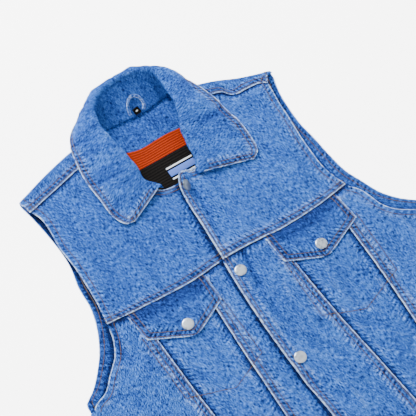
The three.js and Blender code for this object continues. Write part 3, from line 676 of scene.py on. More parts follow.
def build_waistband(denim):
    """Doubled band along the lower edge, front and back."""
    ys = [HEM_Y, BAND_TOP_Y]
    for number, side in enumerate("LR"):
        sign = 1 if side == "L" else -1
        lift = (lambda x, y: lap_height(x, BAND_LAP_RAISE)) if side == "L" else None
        mesh = front_piece(
            f"waistband front {side}", levels(front_edge[side], ys),
            [(sign * x, y) for x, y in levels(side_fold, ys)],
            {"a": "hem", "b": "plain", "bottom": "hem", "top": "lap"}, lift=lift, thickness=BAND - 0.6,
            wrap_at=1.0, seed=9.0 + number)
        finish_cloth(f"waistband_{side}", mesh, 2.0, denim, [f"waistband_front_{side}"])
    x = np.linspace(-1, 1, 180)[None] * (side_fold(HEM_Y) - 0.3)
    across = pair_places(np.array([BAND_TOP_Y - HEM_Y]), "hem", "hem", 4)[0]
    y = HEM_Y + across[:, None] + 0 * x
    x = x + 0 * y
    height, marks = join_seams(x.shape, [("hem", across[:, None] + 0 * x, x, 11)])
    mesh = sheet_mesh("waistband back", np.stack([x, y, 2.1 + height - 0.35], -1), marks, np.stack([y, x], -1))
    finish_cloth("waistband_back_piece", mesh, 1.75, denim, ["waistband_back"])


# Back

def build_back(denim):
    """Back below its yoke, flat on the surface, hemmed at the armholes."""
    rows = pair_places(np.array([BACK_SEAM_Y - BAND_TOP_Y]), "plain", "plain", 4.5)[0] + BAND_TOP_Y

    def edge(side, y):
        sign = 1 if side == "L" else -1
        return np.where(y < UNDERARM_Y, sign * (side_fold(y) - 0.3), back_edge[side](y))
    left, right = edge("R", rows), edge("L", rows)
    width = right - left
    across = pair_places(width, "hem", "hem", 5)
    x = left[:, None] + across
    y = rows[:, None] + 0 * x
    distance = np.minimum(across, width[:, None] - across)
    height, marks = join_seams(x.shape, [("hem", distance, y, 12)])
    armhole = smooth((y - UNDERARM_Y) / 8)
    z = CLOTH + (0.6 * height + 0.12 * soft_waves(x * 2, y * 2)) * armhole
    marks[..., :2] *= armhole[..., None]
    mesh = sheet_mesh("back panel", np.stack([x, y, z], -1), marks, np.stack([x, y], -1))
    for k in (STITCH_HEM, across.shape[1] - 1 - STITCH_HEM):
        line = np.stack([x[:, k], y[:, k], z[:, k]], -1)
        stitch_row(line[rows > UNDERARM_Y])
    finish_cloth("back_below_yoke", mesh, 1.45, denim, ["back_panel"],
                 inside=armhole_shade)


# Back yoke: level of the shoulder fold, where its front part ends at the armholes, depth of that part, and
# how many rows and columns its parts have
SHOULDER_Y = 90.0
SHOULDER_ENDS = {"L": 180.0, "R": -190.0}
SHOULDER_DEPTH = 26
FLAT_ROWS = 46
SHOULDER_STEPS = 12
SHOULDER_COLUMNS = 44
NECK_COLUMNS = 50
# The fold reaches this much further in at the neck
NECK_CORNER = 13


def build_back_yoke(denim):
    """Flat on the surface, then folded over both shoulders to the seam on the front."""
    neck = np.linspace(-NECK_HALF, NECK_HALF, NECK_COLUMNS)

    def row_x(y, front):
        """Columns across the whole yoke at a level; front is 0 on the back and 1 at the shoulder seam."""
        parts = []
        for side, sign in (("R", -1), ("L", 1)):
            end = (1 - front) * back_edge[side](np.array(y)) + front * SHOULDER_ENDS[side]
            width = abs(end) - NECK_HALF
            inner_places = np.linspace(EDGE_STEPS[-1], width, SHOULDER_COLUMNS)[1:]
            places = np.concatenate([EDGE_STEPS, inner_places])
            columns = sign * (abs(end) - places)
            parts.append(columns if side == "R" else columns[::-1])
        return np.concatenate([parts[0], neck[1:-1], parts[1]])

    count = len(row_x(0.0, 0.0))
    none, rows = np.zeros(count), []
    for v in np.linspace(0, 1, FLAT_ROWS):
        x = row_x(BACK_SEAM_Y + (SHOULDER_Y - BACK_SEAM_Y) * v, 0.0)
        y = BACK_SEAM_Y + (back_top(x) - BACK_SEAM_Y) * v
        rows.append((x, y, none, none + FAR))
    x = row_x(SHOULDER_Y, 0.0)
    top = back_top(x)
    radius = (front_height(x, top) + CLOTH) / 2
    for k in range(1, SHOULDER_STEPS + 1):
        angle = math.pi * k / SHOULDER_STEPS - math.pi / 2
        rows.append((x, top + FOLD_BULGE * math.cos(angle), radius * (1 + math.sin(angle)), none + FAR))
    for distance in EDGE_STEPS[::-1][1:]:
        x = row_x(SHOULDER_Y, 1 - distance / SHOULDER_DEPTH)
        seam_y = np.where(x > 0, shoulder_seam["L"](x), shoulder_seam["R"](x)) + distance
        z = front_height(x, seam_y) + CLOTH + small_relief(x, seam_y)
        rows.append((x, seam_y, z, none + distance))
    x, y, z, to_seam = np.moveaxis(np.array(rows), 1, 0)
    to_edge = np.minimum(np.arange(count), np.arange(count)[::-1])
    last = len(EDGE_STEPS) - 1
    edge_distance = np.where(to_edge <= last, EDGE_STEPS[np.minimum(to_edge, last)], FAR)
    height, marks = join_seams(x.shape, [("lap", to_seam, x, 13), ("hem", edge_distance[None] + 0 * x, y, 14)])
    over = np.arange(len(z)) >= FLAT_ROWS
    z = np.where(over[:, None], z + height, 0.0)
    # The flat part shows as the back's inside: painted darker, as shade
    marks[~over, :, 0] -= 0.15
    outer = np.stack([x, y, z], -1)
    keep = np.ones((len(x) - 1, count - 1), dtype=bool)
    inwards = np.abs((x[0, :-1] + x[0, 1:]) / 2)
    keep[FLAT_ROWS - 1:] = inwards[None] > NECK_HALF
    keep[FLAT_ROWS - 1:FLAT_ROWS + 1 + SHOULDER_STEPS // 2] = inwards[None] > NECK_HALF - NECK_CORNER
    girth = np.cumsum(np.linalg.norm(np.diff(outer, axis=0, prepend=outer[:1]), axis=2), axis=0)
    uv = np.stack([x, girth], -1)
    mesh = sheet_mesh("back yoke", outer, marks, uv, keep, flip=True)
    columns_r = np.arange(len(EDGE_STEPS) + SHOULDER_COLUMNS - 2)
    for columns in (columns_r, count - 1 - columns_r):
        for k in (STITCH_NEAR, STITCH_FAR):
            stitch_row(outer[-1 - k][columns])
    for k in (STITCH_HEM, count - 1 - STITCH_HEM):
        stitch_row(outer[FLAT_ROWS + 4:, k])
        stitch_row(outer[:FLAT_ROWS, k] + np.array([0, 0, CLOTH]))
    finish_cloth("yoke_back", mesh, 1.4, denim, ["back_yoke"],
                 inside=armhole_shade)


# Collar: seam at the neck, roll, outer edge, and how flat the fall lies, from right front to left front

COLLAR = [
    ((-25, 15, 12), (-27, 18, 17), (-83, -8, 14), 1),
    ((-33, 21, 12), (-32.5, 26, 18), (-96, -4.5, 14), 1),
    ((-43, 31, 12), (-42.5, 36, 21), (-104, 14, 14), 1),
    ((-53, 50, 11), (-41.5, 53, 24), (-106, 45, 14), 1),
    ((-60, 80, 10), (-44.5, 82, 28), (-107, 80, 13), 1),
    ((-64, 106, 9), (-49.5, 111, 32), (-103, 112, 12), 1),
    ((-63, 126, 7), (-51, 138, 34.5), (-95, 140, 8), 0.5),
    ((-45, 134.5, 3.4), (-42, 161, 35), (-70, 165, 4), 0.1),
    ((-22, 134, 3.2), (-23, 174.5, 35), (-34, 187, 2.6), 0),
    ((5, 131.5, 3.2), (4, 178, 35), (4, 192, 2.6), 0),
    ((30, 133.5, 3.2), (30, 176, 35), (40, 187, 2.6), 0),
    ((51, 136, 3.4), (50, 164, 35), (74, 168, 4), 0.1),
    ((65, 127, 7), (52, 140, 34.5), (93, 139, 8), 0.5),
    ((66, 108, 9), (51.5, 113, 33), (100, 114, 12), 1),
    ((63, 92, 9.5), (46.5, 92, 31), (106, 94, 13), 1),
    ((58, 73, 10), (38.5, 75, 28), (108.5, 70, 14), 1),
    ((49, 48, 11), (33.5, 51, 25), (113, 42, 14), 1),
    ((39, 31, 13), (32, 31, 21), (112.5, 16, 14), 1),
    ((30, 20, 14), (27, 14, 19), (109, -5, 14), 1),
    ((22, 13, 14), (21, 7, 17), (98, -14, 14), 1),
]
ROLL_RADIUS = 4.5
collar_seam = spline([row[0] for row in COLLAR])
collar_roll = spline([row[1] for row in COLLAR])
collar_edge = spline([row[2] for row in COLLAR])


def front_top(x, y):
    """Top of the front under the collar."""
    lap = np.where(x > -12, lap_height(x, LAP_RAISE), 0)
    return front_height(x, y) + lap + CLOTH + 0.6


def collar_points(along, part, w):
    """Middle of the collar's cloth: part is stand, roll or fall, w runs over it from 0 to 1."""
    n, r, e = collar_seam(along), collar_roll(along), collar_edge(along)
    drop = np.interp(along * (len(COLLAR) - 1), np.arange(len(COLLAR)), [row[3] for row in COLLAR])[..., None]
    outward = (e - r) * np.array([1, 1, 0])
    span = np.linalg.norm(outward, axis=-1)[..., None]
    outward = outward / span
    radius = np.minimum(ROLL_RADIUS, 0.35 * span)
    crest = r + outward * radius
    up = np.array([0, 0, 1.0])
    if part == "stand":
        end = r - up * radius
        control = n + (end - n) * 0.6
        control[..., 2] = (n + (end - n) * 0.4)[..., 2]
        points = n * (1 - w) ** 2 + control * 2 * w * (1 - w) + end * w * w
    elif part == "roll":
        angle = math.pi / 2 * w
        points = crest - outward * radius * np.cos(angle) + up * radius * (np.sin(angle) - 1)
    else:
        angle = math.pi / 2 * w
        across = np.sin(angle) + (w - np.sin(angle)) * drop
        down = np.cos(angle) + (1 - smooth(w) - np.cos(angle)) * drop
        points = crest + (e - crest) * across
        points[..., 2] = (e[..., 2:] + (crest - e)[..., 2:] * down)[..., 0]
    x, y = points[..., 0], points[..., 1]
    free = ((np.abs(x) < 56) & (y > 110)) | (y > back_top(x) + FOLD_BULGE)
    floor = front_top(x, y) + 0.5 + DOUBLE / 2
    points[..., 2] = np.where(free, points[..., 2], np.maximum(points[..., 2], floor))
    return points


COLLAR_COLUMNS = 300
STAND_ROWS = 24
ROLL_ROWS = 9
FALL_ROWS = 22


def build_collar(denim):
    """Stand, roll and fall in one grid, with sewing beside the outer edge and both front ends."""
    count = COLLAR_COLUMNS
    along = np.linspace(0, 1, count)[:, None]
    grids = [collar_points(along, "stand", np.linspace(0, 1, STAND_ROWS)[None, :, None])]
    grids.append(collar_points(along, "roll", np.linspace(0, 1, ROLL_ROWS)[None, 1:, None]))
    span = np.linalg.norm((collar_edge(along[:, 0]) - collar_roll(along[:, 0]))[:, :2], axis=1)
    fixed = EDGE_STEPS[None] / np.maximum(span, 30)[:, None]
    begin = np.linspace(0, 1, FALL_ROWS)[None, 1:] * (1 - fixed[:, -1:])
    falls = np.hstack([begin, (1 - fixed[:, ::-1])[:, 1:]])
    grids.append(collar_points(along, "fall", falls[..., None]))
    points = np.concatenate(grids, 1)
    stand, roll = grids[0].shape[1], grids[1].shape[1]
    columns = points.shape[1]
    edge = np.full(columns, FAR)
    edge[-len(EDGE_STEPS):] = EDGE_STEPS[::-1]
    length = length_along(collar_edge(along[:, 0]))
    ends = np.minimum(length, length[-1] - length)
    ahead = np.linspace(0.35, 1, columns)
    front = np.minimum(ends[:, None] * ahead[None], FAR)
    normal = np.cross(np.gradient(points, axis=1), np.gradient(points, axis=0))
    normal /= np.maximum(np.linalg.norm(normal, axis=2), 1e-9)[..., None]
    if normal[count // 2, stand + roll // 2, 2] < 0:
        normal = -normal
    fall = np.concatenate([np.zeros(stand + roll), np.linspace(0, 1, columns - stand - roll)])
    s = length[:, None] + 0 * points[..., 0]
    front = np.where(fall[None] > 0, front, FAR)
    run = np.cumsum(np.linalg.norm(np.diff(points, axis=1, prepend=points[:, :1]), axis=2), axis=1)
    height, marks = join_seams(s.shape, [("double", edge[None] + 0 * s, s, 15), ("double", front, run, 16)])
    creases = collar_creases(s, fall[None] + 0 * s, length[-1])
    height = height + creases
    in_stand = np.arange(columns) < stand
    # Folds: valleys painted darker as shade, ridges a little paler as rubbing and painted light; the stand
    # painted darker as shade inside the neck, and the roll's crest a little paler
    marks[..., 0] += 0.4 * np.minimum(creases, 0.35) + np.where(in_stand, -0.12, 0)
    marks[..., 0] += 0.12 * bump(np.arange(columns) - stand - 3, 4)
    outer = points + normal * (DOUBLE / 2 + height)[..., None]
    mesh = sheet_mesh("collar", outer, marks, np.stack([s, run + 300], -1))
    probe = mesh.polygons[(count // 2) * (columns - 1) + stand + 3]
    if probe.normal.z < 0:
        mesh.flip_normals()
    sewn = outer + normal * 0.25
    for inset in (STITCH_NEAR, STITCH_FAR):
        column = -1 - inset
        begin = int(np.argmax(front[:, column] >= EDGE_STEPS[inset]))
        stitch_row(sewn[begin:count - begin, column], 0)
        rows = np.array([np.argmin(np.abs(length * a - EDGE_STEPS[inset])) for a in ahead])
        places = np.arange(stand + roll + 3, columns + column + 1)
        stitch_row(sewn[rows[places], places], 0)
        stitch_row(sewn[count - 1 - rows[places], places], 0)
    finish_cloth("collar_piece", mesh, DOUBLE - 0.1, denim, ["collar"])


# Folds across the collar's fall: place as a share of its edge, lean over the fall, half width and height
COLLAR_FOLDS = [
    (0.10, 30, 6, 1.0), (0.15, 24, 4.5, -1.1), (0.21, 34, 8, 1.2), (0.27, 20, 4.5, -1.0),
    (0.33, -18, 8, 1.0), (0.385, 14, 4.5, -1.3), (0.43, 10, 7, 1.1), (0.49, -10, 5, -1.0),
    (0.55, -14, 8, 1.2), (0.61, -12, 4.5, -1.3), (0.66, 18, 8, 1.0), (0.72, -26, 4.5, -1.0),
    (0.78, -34, 8, 1.1), (0.84, -24, 4.5, -1.1), (0.90, -30, 6, 0.9),
]
# Short folds at each of the collar's points: distance from the point and height
POINT_FOLDS = [(16, 1.0), (34, -0.8), (52, 1.1), (74, -0.7), (98, 0.8)]


def collar_creases(s, fall, total):
    """Soft folds that fan out from the collar's points, and uneven waves over the fall."""
    waves = 0.5 * np.sin(s * 0.085 + fall * 2.2) * smooth(fall * 2) + 0.35 * np.sin(s * 0.19 - fall * 3 + 1)
    fan = np.zeros(s.shape)
    for end in (s, total - s):
        for start, depth in POINT_FOLDS:
            ridge = bump(end - start - 26 * (1 - fall), 5)
            fan = fan + depth * ridge * smooth(fall * 1.6) * smooth((1.1 - fall) * 4)
    folds = 0.5 * rumple(s * 1.3, fall * 90 - 60)
    for start, lean, width, depth in COLLAR_FOLDS:
        folds = folds + depth * bump(s - start * total - lean * (fall - 0.5), width) * smooth(fall * 2.4)
    return 0.8 * waves + 0.9 * fan + 1.3 * folds


# Pocket flaps

# Rows of sewing by their distance from the flap's edge, how far it lies above the pocket's mouth, and how
# far its root drops under the yoke's edge
FLAP_ROWS = (3.0, 8.7)
FLAP_OVER_POCKET = 2.3
FLAP_ROOT_DROP = 2.8


def build_flaps(denim):
    """Pointed flaps, tucked under the yoke seam and painted darker there, as the shadow of the yoke's edge."""
    for number, side in enumerate("LR"):
        outline = FLAPS[side]
        bottom = outline["bottom"]
        left, tip, right = bottom
        tip_at = (tip[0] - left[0]) / (right[0] - left[0])
        u = np.linspace(0, 1, 70)
        lower = np.stack([np.interp(u, [0, tip_at, 1], [p[k] for p in bottom]) for k in (0, 1)], -1)
        lower[:, 1] += 2.2 * bump((u - tip_at) * 110, 7)
        upper_x = outline["top"][0] + (outline["top"][1] - outline["top"][0]) * u
        upper = np.stack([upper_x, yoke_seam(upper_x) - 0.8], -1)
        fixed = EDGE_STEPS / 50
        v = np.concatenate([np.linspace(0, 1 - fixed[-1], 16), (1 - fixed[::-1])[1:]])
        points = upper[None] + (lower - upper)[None] * v[:, None, None]
        x, y = points[..., 0], points[..., 1]
        low, along = line_distance(x, y, [tuple(p) for p in bottom])
        ends, along_ends = line_distance(x, y, [(outline["top"][0], -118), left])
        ends_b, along_b = line_distance(x, y, [(outline["top"][1], -118), right])
        edge = np.minimum(low, np.minimum(ends, ends_b))
        along = np.where(low < np.minimum(ends, ends_b), along, y)
        height, marks = join_seams(x.shape, [("double", edge, along, 17 + number)])
        puff = 1.4 * smooth(edge / 16) * smooth((y + 190) / 40)
        # Mottled tone, a little darker, and painted shadow of the yoke's edge over the top of the flap
        dark = 0.3 * rumple(2.2 * x, 2.2 * y) - 0.1
        dark = dark - 0.95 * (1 - smooth((yoke_seam(x) - y - 4) / 24)) * smooth(edge / 9)
        z = front_height(x, y) + CLOTH + FLAP_LIFT + FLAP_OVER_POCKET
        z = z + height + 0.5 * soft_waves(x * 2.5, y * 2.5) + puff
        under = yoke_seam(x) - y
        z = z - FLAP_ROOT_DROP * (1 - smooth(under / 8))
        # A painted shadow line where the root goes under the yoke's edge, with a paler band below it
        marks[..., 0] += dark - 1.2 * rim(under, 2.6) + 0.25 * bump(under - 8, 4)
        outer = np.stack([x, y, z], -1)
        uv = np.stack([x + 500 + 60 * number, y], -1)
        mesh = sheet_mesh(f"pocket flap {side}", outer, marks, uv, flip=side == "L")
        for inset in FLAP_ROWS:
            path = [(outline["top"][0], -110), left, tip, right, (outline["top"][1], -110)]
            stitch_on_surface(inset_line(path, inset, (tip[0], -125)), mesh)
        finish_cloth(f"flap_{side}", mesh, DOUBLE - 0.3, denim, [f"pocket_flap_{side}"])


def inset_line(points, inset, centre):
    """The open line moved towards a centre, in 2 mm steps, without the places where it crosses itself."""
    p = np.array(points, dtype=float)
    moved = []
    for a, b in zip(p, p[1:]):
        normal = np.array([-(b - a)[1], (b - a)[0]])
        length = np.linalg.norm(normal)
        if length < 1e-6:
            continue
        normal /= length
        if np.dot(np.asarray(centre) - (a + b) / 2, normal) < 0:
            normal = -normal
        steps = np.arange(0, length, min(2.0, length / 2))[:, None] / length
        moved.append(a + (b - a) * steps + normal * inset)
    moved = np.concatenate(moved)
    clear = line_distance(moved[:, 0], moved[:, 1], p)[0] > inset - 0.15
    return moved[clear]


def stitch_on_surface(path, *meshes):
    """Drops a path in vest millimetres onto built meshes and sews along it."""
    trees = [BVHTree.FromPolygons([v.co for v in mesh.vertices], [p.vertices for p in mesh.polygons])
             for mesh in meshes]
    points = []
    for x, y in path:
        start = Vector(to_frame((x, y, 80)))
        hits = [tree.ray_cast(start, Vector((0, 0, -1)))[0] for tree in trees]
        hits = [hit for hit in hits if hit is not None]
        if hits:
            top = max(hits, key=lambda hit: hit.z)
            points.append((top.x, top.y, top.z + 0.0002))
    points = np.array(points)
    breaks = np.nonzero(np.linalg.norm(np.diff(points, axis=0), axis=1) > 0.006)[0] + 1
    STITCH_ROWS.extend(np.split(points, breaks))


# Lining, loop, tab and snaps

# Woven bars on the black lining: lower and upper edge and satin
BARS = [(22, 24.6, "pale"), (27, 37, "blue"), (39.4, 42, "pale")]
LINING_HALF = 72


def build_lining(orange, black, satin):
    """Quilted band and ribbed lining at the neck, with woven bars."""
    bars = []
    for number, (low, high, finish) in enumerate(BARS):
        u, v = np.meshgrid(np.linspace(0, 1, 30), np.linspace(0, 1, 10))
        points = np.stack([-6 + 40 * u, low + (high - low) * v, 3.5 + 0.3 * np.sin(math.pi * v)], -1)
        mesh = sheet_mesh(f"woven bar {number}", points, plain_marks(0 * u), points[..., :2])
        bars.append(finish_cloth(f"woven_bar_{number}", mesh, 0.4, satin[finish], []))
    x = np.linspace(-LINING_HALF, LINING_HALF, 70)[None]
    for name, low, high, ribs, material, node, slot, with_bars in (
            ("lining_band", 58.6, 86.5, 8, orange, "lining_orange", "orange_lining", []),
            ("lining_panel", -14, 58.3, 18, black, "lining_black", "black_lining", bars)):
        v = np.linspace(0, 1, ribs * 10 + 1)[:, None]
        y = low + (high - low) * v + 0 * x
        if name == "lining_band":
            y = y + (6.5 * smooth((-x - 14) / 40) + 0.8 * np.sin(x * 0.09)) * v
        rib = np.abs(np.sin(math.pi * ribs * v))
        z = 2.45 + 0.55 * rib ** 0.6 + 0.25 * np.sin(x * 0.13 + y * 0.2) + 0 * x
        points = np.stack([x + 0 * y, y, z], -1)
        # Tone by rib: the ribs painted light and the sewn lines between them painted shade
        mesh = sheet_mesh(name, points, plain_marks(rib * 0.8 - 0.3 + 0 * x), points[..., :2])
        finish_cloth(f"{name}_piece", mesh, 0.7, material, [node])


def collar_normal(along, step):
    """Direction away from the inside of the stand."""
    d = 0.002
    a = collar_points(np.array([[along + d]]), "stand", np.array([[[step]]]))[0, 0]
    b = collar_points(np.array([[along - d]]), "stand", np.array([[[step]]]))[0, 0]
    c = collar_points(np.array([[along]]), "stand", np.array([[[step + 0.02]]]))[0, 0]
    e = collar_points(np.array([[along]]), "stand", np.array([[[step - 0.02]]]))[0, 0]
    normal = np.cross(c - e, a - b)
    normal /= np.linalg.norm(normal)
    return normal if normal[2] > 0 else -normal


def collar_place(x, step, lift):
    """Point above the inside of the stand where its seam passes x; step runs 0 to 1 up the stand."""
    alongs = np.linspace(0.3, 0.65, 400)
    along = float(np.interp(x, collar_seam(alongs)[:, 0], alongs))
    point = collar_points(np.array([[along]]), "stand", np.array([[[step]]]))[0, 0]
    return point + collar_normal(along, step) * lift, collar_normal(along, step)


def build_loop(denim, black, satin):
    """Rolled loop sewn to the inside of the stand, and the tab at its foot."""
    path = [(-3, 0.09), (-2.2, 0.2), (-0.5, 0.3), (3, 0.41), (8, 0.47), (12, 0.475), (16.5, 0.43), (19.5, 0.35),
            (21, 0.24), (20, 0.14), (16.5, 0.06)]
    lifts = [1.9, 2.6, 3.2, 3.6, 3.8, 3.8, 3.6, 3.2, 2.8, 2.4, 1.9]
    placed = [collar_place(x, step, lift) for (x, step), lift in zip(path, lifts)]
    middle = spline([p for p, _ in placed])(np.linspace(0, 1, 70))
    normals = spline([n for _, n in placed])(np.linspace(0, 1, 70))
    tangent = np.gradient(middle, axis=0)
    side = np.cross(normals, tangent)
    side /= np.linalg.norm(side, axis=1)[:, None]
    normals = np.cross(tangent, side)
    normals /= np.linalg.norm(normals, axis=1)[:, None]
    angles = np.linspace(0, 2 * math.pi, 17)
    ring = (side[:, None] * (2.0 * np.cos(angles))[None, :, None]
            + normals[:, None] * (0.95 * np.sin(angles))[None, :, None])
    points = middle[:, None] + ring
    wear_and_shade = 0.75 * np.abs(np.cos(angles))[None] ** 2 + 0.35 + 0.2 * uneven(length_along(middle)[:, None], 3)
    run = length_along(middle)[:, None] + 0 * angles[None]
    uv = np.stack([angles[None] * 1.4 + 0 * run, run], -1)
    mesh = sheet_mesh("hang loop", points, plain_marks(wear_and_shade + 0 * run), uv)
    stand_for(add_piece("loop_piece", mesh, denim), ["hang_loop"])

    centre, normal = collar_place(7.3, 0.11, 3.2)
    x_axis = np.array([0.93, 0.2, 0.0])
    x_axis -= normal * np.dot(x_axis, normal)
    x_axis /= np.linalg.norm(x_axis)
    y_axis = np.cross(normal, x_axis)
    u = np.linspace(-1, 1, 15)[None, :, None]
    v = np.linspace(-1, 1, 15)[:, None, None]
    points = centre + x_axis * 4.6 * u + y_axis * 4.8 * v + normal * (0.5 * u**2 - 0.3 * v)
    flat = plain_marks(np.zeros(points.shape[:2]))
    mesh = sheet_mesh("size tab", points, flat, points[..., :2])
    finish_cloth("tab_piece", mesh, 0.5, black, ["size_tab"])
    points = centre + x_axis * 1.5 * u + y_axis * 0.7 * v + normal * 0.35
    mesh = sheet_mesh("tab mark", points, flat, points[..., :2])
    finish_cloth("tab_mark", mesh, 0.2, satin["pale"], [])


# Half section of a cap: distance from its axis and height above its foot
CAP_PROFILE = [
    (0, 2.4), (2.5, 2.38), (5.0, 2.3), (6.0, 2.2), (6.6, 2.1), (7.1, 1.95), (7.5, 1.7), (7.85, 1.3),
    (8.0, 0.8), (7.9, 0.4), (7.3, 0.1), (5.0, 0.0), (0, 0.0),
]
CAP_FOOT = 1.2
# The top snap leans with the curled corner: its axis, and how far it is moved
TOP_SNAP_AXIS = (0.66, -0.43, 0.62)
TOP_SNAP_MOVE = (0.5, -1.5, 5.0)


def build_snaps(nickel, shaded_nickel):
    """Slightly domed caps with a rim that is turned down all round; the top one's nickel is painted darker, as
    shade and dark reflection.
    """
    profile = spline(CAP_PROFILE)(np.linspace(0, 1, 61))
    profile[0, 0] = profile[-1, 0] = 0
    for name in [f"snap_front_{k + 1}" for k in range(len(FRONT_SNAPS))] + ["snap_pocket_L", "snap_pocket_R"]:
        low, high = (np.array(corner) * 1000 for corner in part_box(name))
        flat = to_frame((0, 0, 0)) * 1000
        low, high = low - flat, high - flat
        centre = (low + high) / 2
        x, y = centre[:2]
        reach = 5.0
        left = name != "snap_pocket_R"

        def top(px, py):
            return front_height(px, py) + (front_lap(px, py) + corner_lift(px, py) if left else 0)
        centre[2] += corner_lift(x, y)
        slope = np.array([(top(x + reach, y) - top(x - reach, y)) / (2 * reach),
                          (top(x, y + reach) - top(x, y - reach)) / (2 * reach)])
        normal = np.array([-slope[0], -slope[1], 1.0])
        if name == "snap_front_1":
            normal = np.array(TOP_SNAP_AXIS)
            centre += TOP_SNAP_MOVE
        normal /= np.linalg.norm(normal)
        turn = Vector((0, 0, 1)).rotation_difference(Vector(normal)).to_matrix()
        angles = np.linspace(0, 2 * math.pi, 41)[:-1]
        rings = np.stack([profile[:, None, 0] * np.cos(angles), profile[:, None, 0] * np.sin(angles),
                          profile[:, None, 1] + 0 * angles[None] - CAP_FOOT], -1)
        rings = rings @ np.array(turn).T + centre
        mesh = bpy.data.meshes.new(name)
        points = [rings[0, 0]] + rings[1:-1].reshape(-1, 3).tolist() + [rings[-1, 0]]
        count = len(angles)
        faces = []
        for k in range(count):
            n = (k + 1) % count
            faces.append((0, 1 + k, 1 + n))
            for ring in range(len(profile) - 3):
                a = 1 + ring * count
                faces.append((a + k, a + count + k, a + count + n, a + n))
            last = 1 + (len(profile) - 3) * count
            faces.append((last + k, len(points) - 1, last + n))
        mesh.from_pydata(to_frame(points).tolist(), [], faces)
        # The top snap's nickel is painted darker: painted shade and painted dark reflection
        piece = add_piece(name.replace("snap", "cap"), mesh, shaded_nickel if name == "snap_front_1" else nickel)
        stand_for(piece, [name])


# Stitches

def linear(hex_colour):
    """sRGB hex colour as linear RGBA."""
    values = [int(hex_colour[k:k + 2], 16) / 255 for k in (1, 3, 5)]
    return tuple(v / 12.92 if v <= 0.04045 else ((v + 0.055) / 1.055) ** 2.4 for v in values) + (1.0,)


def add_node(tree, kind, settings=None, inputs=(), stops=()):
    """Adds a node with its settings, its inputs, linked where they are sockets, and its ramp's stops."""
    node = tree.nodes.new(kind)
    for key, value in (settings or {}).items():
        setattr(node, key, value)
    for key, value in inputs.items() if isinstance(inputs, dict) else enumerate(inputs):
        if isinstance(value, bpy.types.NodeSocket):
            tree.links.new(value, node.inputs[key])
        else:
            node.inputs[key].default_value = value
    for number, (place, colour) in enumerate(stops):
        elements = node.color_ramp.elements
        element = elements[number] if number < 2 else elements.new(place)
        element.position = place
        element.color = linear(colour)
    return node.outputs


def stitch_tree(material):
    """Thread stitches, one after another along every line of a mesh of edges."""
    tree = bpy.data.node_groups.new("Stitches", "GeometryNodeTree")
    face = tree.interface
    face.new_socket("Lines", in_out="INPUT", socket_type="NodeSocketGeometry")
    pitch = face.new_socket("Pitch", in_out="INPUT", socket_type="NodeSocketFloat")
    length = face.new_socket("Stitch Length", in_out="INPUT", socket_type="NodeSocketFloat")
    radius = face.new_socket("Thread Radius", in_out="INPUT", socket_type="NodeSocketFloat")
    face.new_socket("Stitches", in_out="OUTPUT", socket_type="NodeSocketGeometry")
    lines, pitch_in, length_in, radius_in = list(add_node(tree, "NodeGroupInput"))[:4]
    curves = add_node(tree, "GeometryNodeMeshToCurve", {}, {"Mesh": lines})[0]
    even = add_node(tree, "GeometryNodeResampleCurve", {"mode": "LENGTH"},
                    {"Curve": curves, "Length": pitch_in})[0]
    tangent = add_node(tree, "GeometryNodeInputTangent")[0]
    turn = add_node(tree, "FunctionNodeAlignRotationToVector", {"axis": "Z"}, {"Vector": tangent})[0]
    stitch = add_node(tree, "GeometryNodeMeshCylinder", {"fill_type": "NGON"},
                      {"Vertices": 5, "Radius": radius_in, "Depth": length_in})[0]
    placed = add_node(tree, "GeometryNodeInstanceOnPoints", {},
                      {"Points": even, "Instance": stitch, "Rotation": turn})[0]
    real = add_node(tree, "GeometryNodeRealizeInstances", {}, [placed])[0]
    coloured = add_node(tree, "GeometryNodeSetMaterial", {}, {"Geometry": real, "Material": material})[0]
    add_node(tree, "NodeGroupOutput", {}, [coloured])
    return tree, pitch.identifier, length.identifier, radius.identifier


def build_stitches(sizes, thread):
    """One mesh of thread from all the rows that the pieces kept."""
    points, edges = [], []
    for row in STITCH_ROWS:
        if len(row) < 2:
            continue
        start = len(points)
        points.extend(row.tolist())
        edges.extend((start + k, start + k + 1) for k in range(len(row) - 1))
    mesh = bpy.data.meshes.new("stitch lines")
    mesh.from_pydata(points, edges, [])
    piece = bpy.data.objects.new("stitching", mesh)
    bpy.context.collection.objects.link(piece)
    tree, pitch, length, radius = stitch_tree(thread)
    modifier = piece.modifiers.new("Stitches", "NODES")
    modifier.node_group = tree
    modifier[pitch] = sizes.stitch_pitch
    modifier[length] = sizes.stitch_length
    modifier[radius] = sizes.thread_radius
    piece.update_tag()
    apply_modifiers(piece)
    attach(piece, "root")


# Materials

def new_material(name):
    material = bpy.data.materials.new(name)
    material.use_nodes = True
    material.node_tree.nodes.clear()
    return material, material.node_tree


def pattern(tree, place, width, length, turn=0.0, detail=2):
    """Flecks from -0.5 to 0.5, of a width and length in mm, turned on the cloth."""
    laid = add_node(tree, "ShaderNodeMapping", {"vector_type": "TEXTURE"}, {
        "Vector": place, "Rotation": (0, 0, turn), "Scale": (width / 1000, length / 1000, 0.001)})[0]
    flecks = add_node(tree, "ShaderNodeTexNoise", {}, {"Vector": laid, "Scale": 1.0, "Detail": detail})[0]
    return add_node(tree, "ShaderNodeMath", {"operation": "SUBTRACT"}, [flecks, 0.5])[0]


# Width and length of the flecks in mm, their turn, detail and strength. Real twill lines are 0.6 mm apart;
# here they are as coarse as shows.
DENIM_PATTERNS = [
    (0.85, 5.0, 0.3, 1, 2.7),
    (0.62, 0.9, 0.3, 1, 3.1),
    (5.0, 9.0, 0.5, 2, 0.4),
    (9.0, 34.0, 0.25, 2, 0.56),
    (45.0, 70.0, 0.0, 2, 0.3),
]


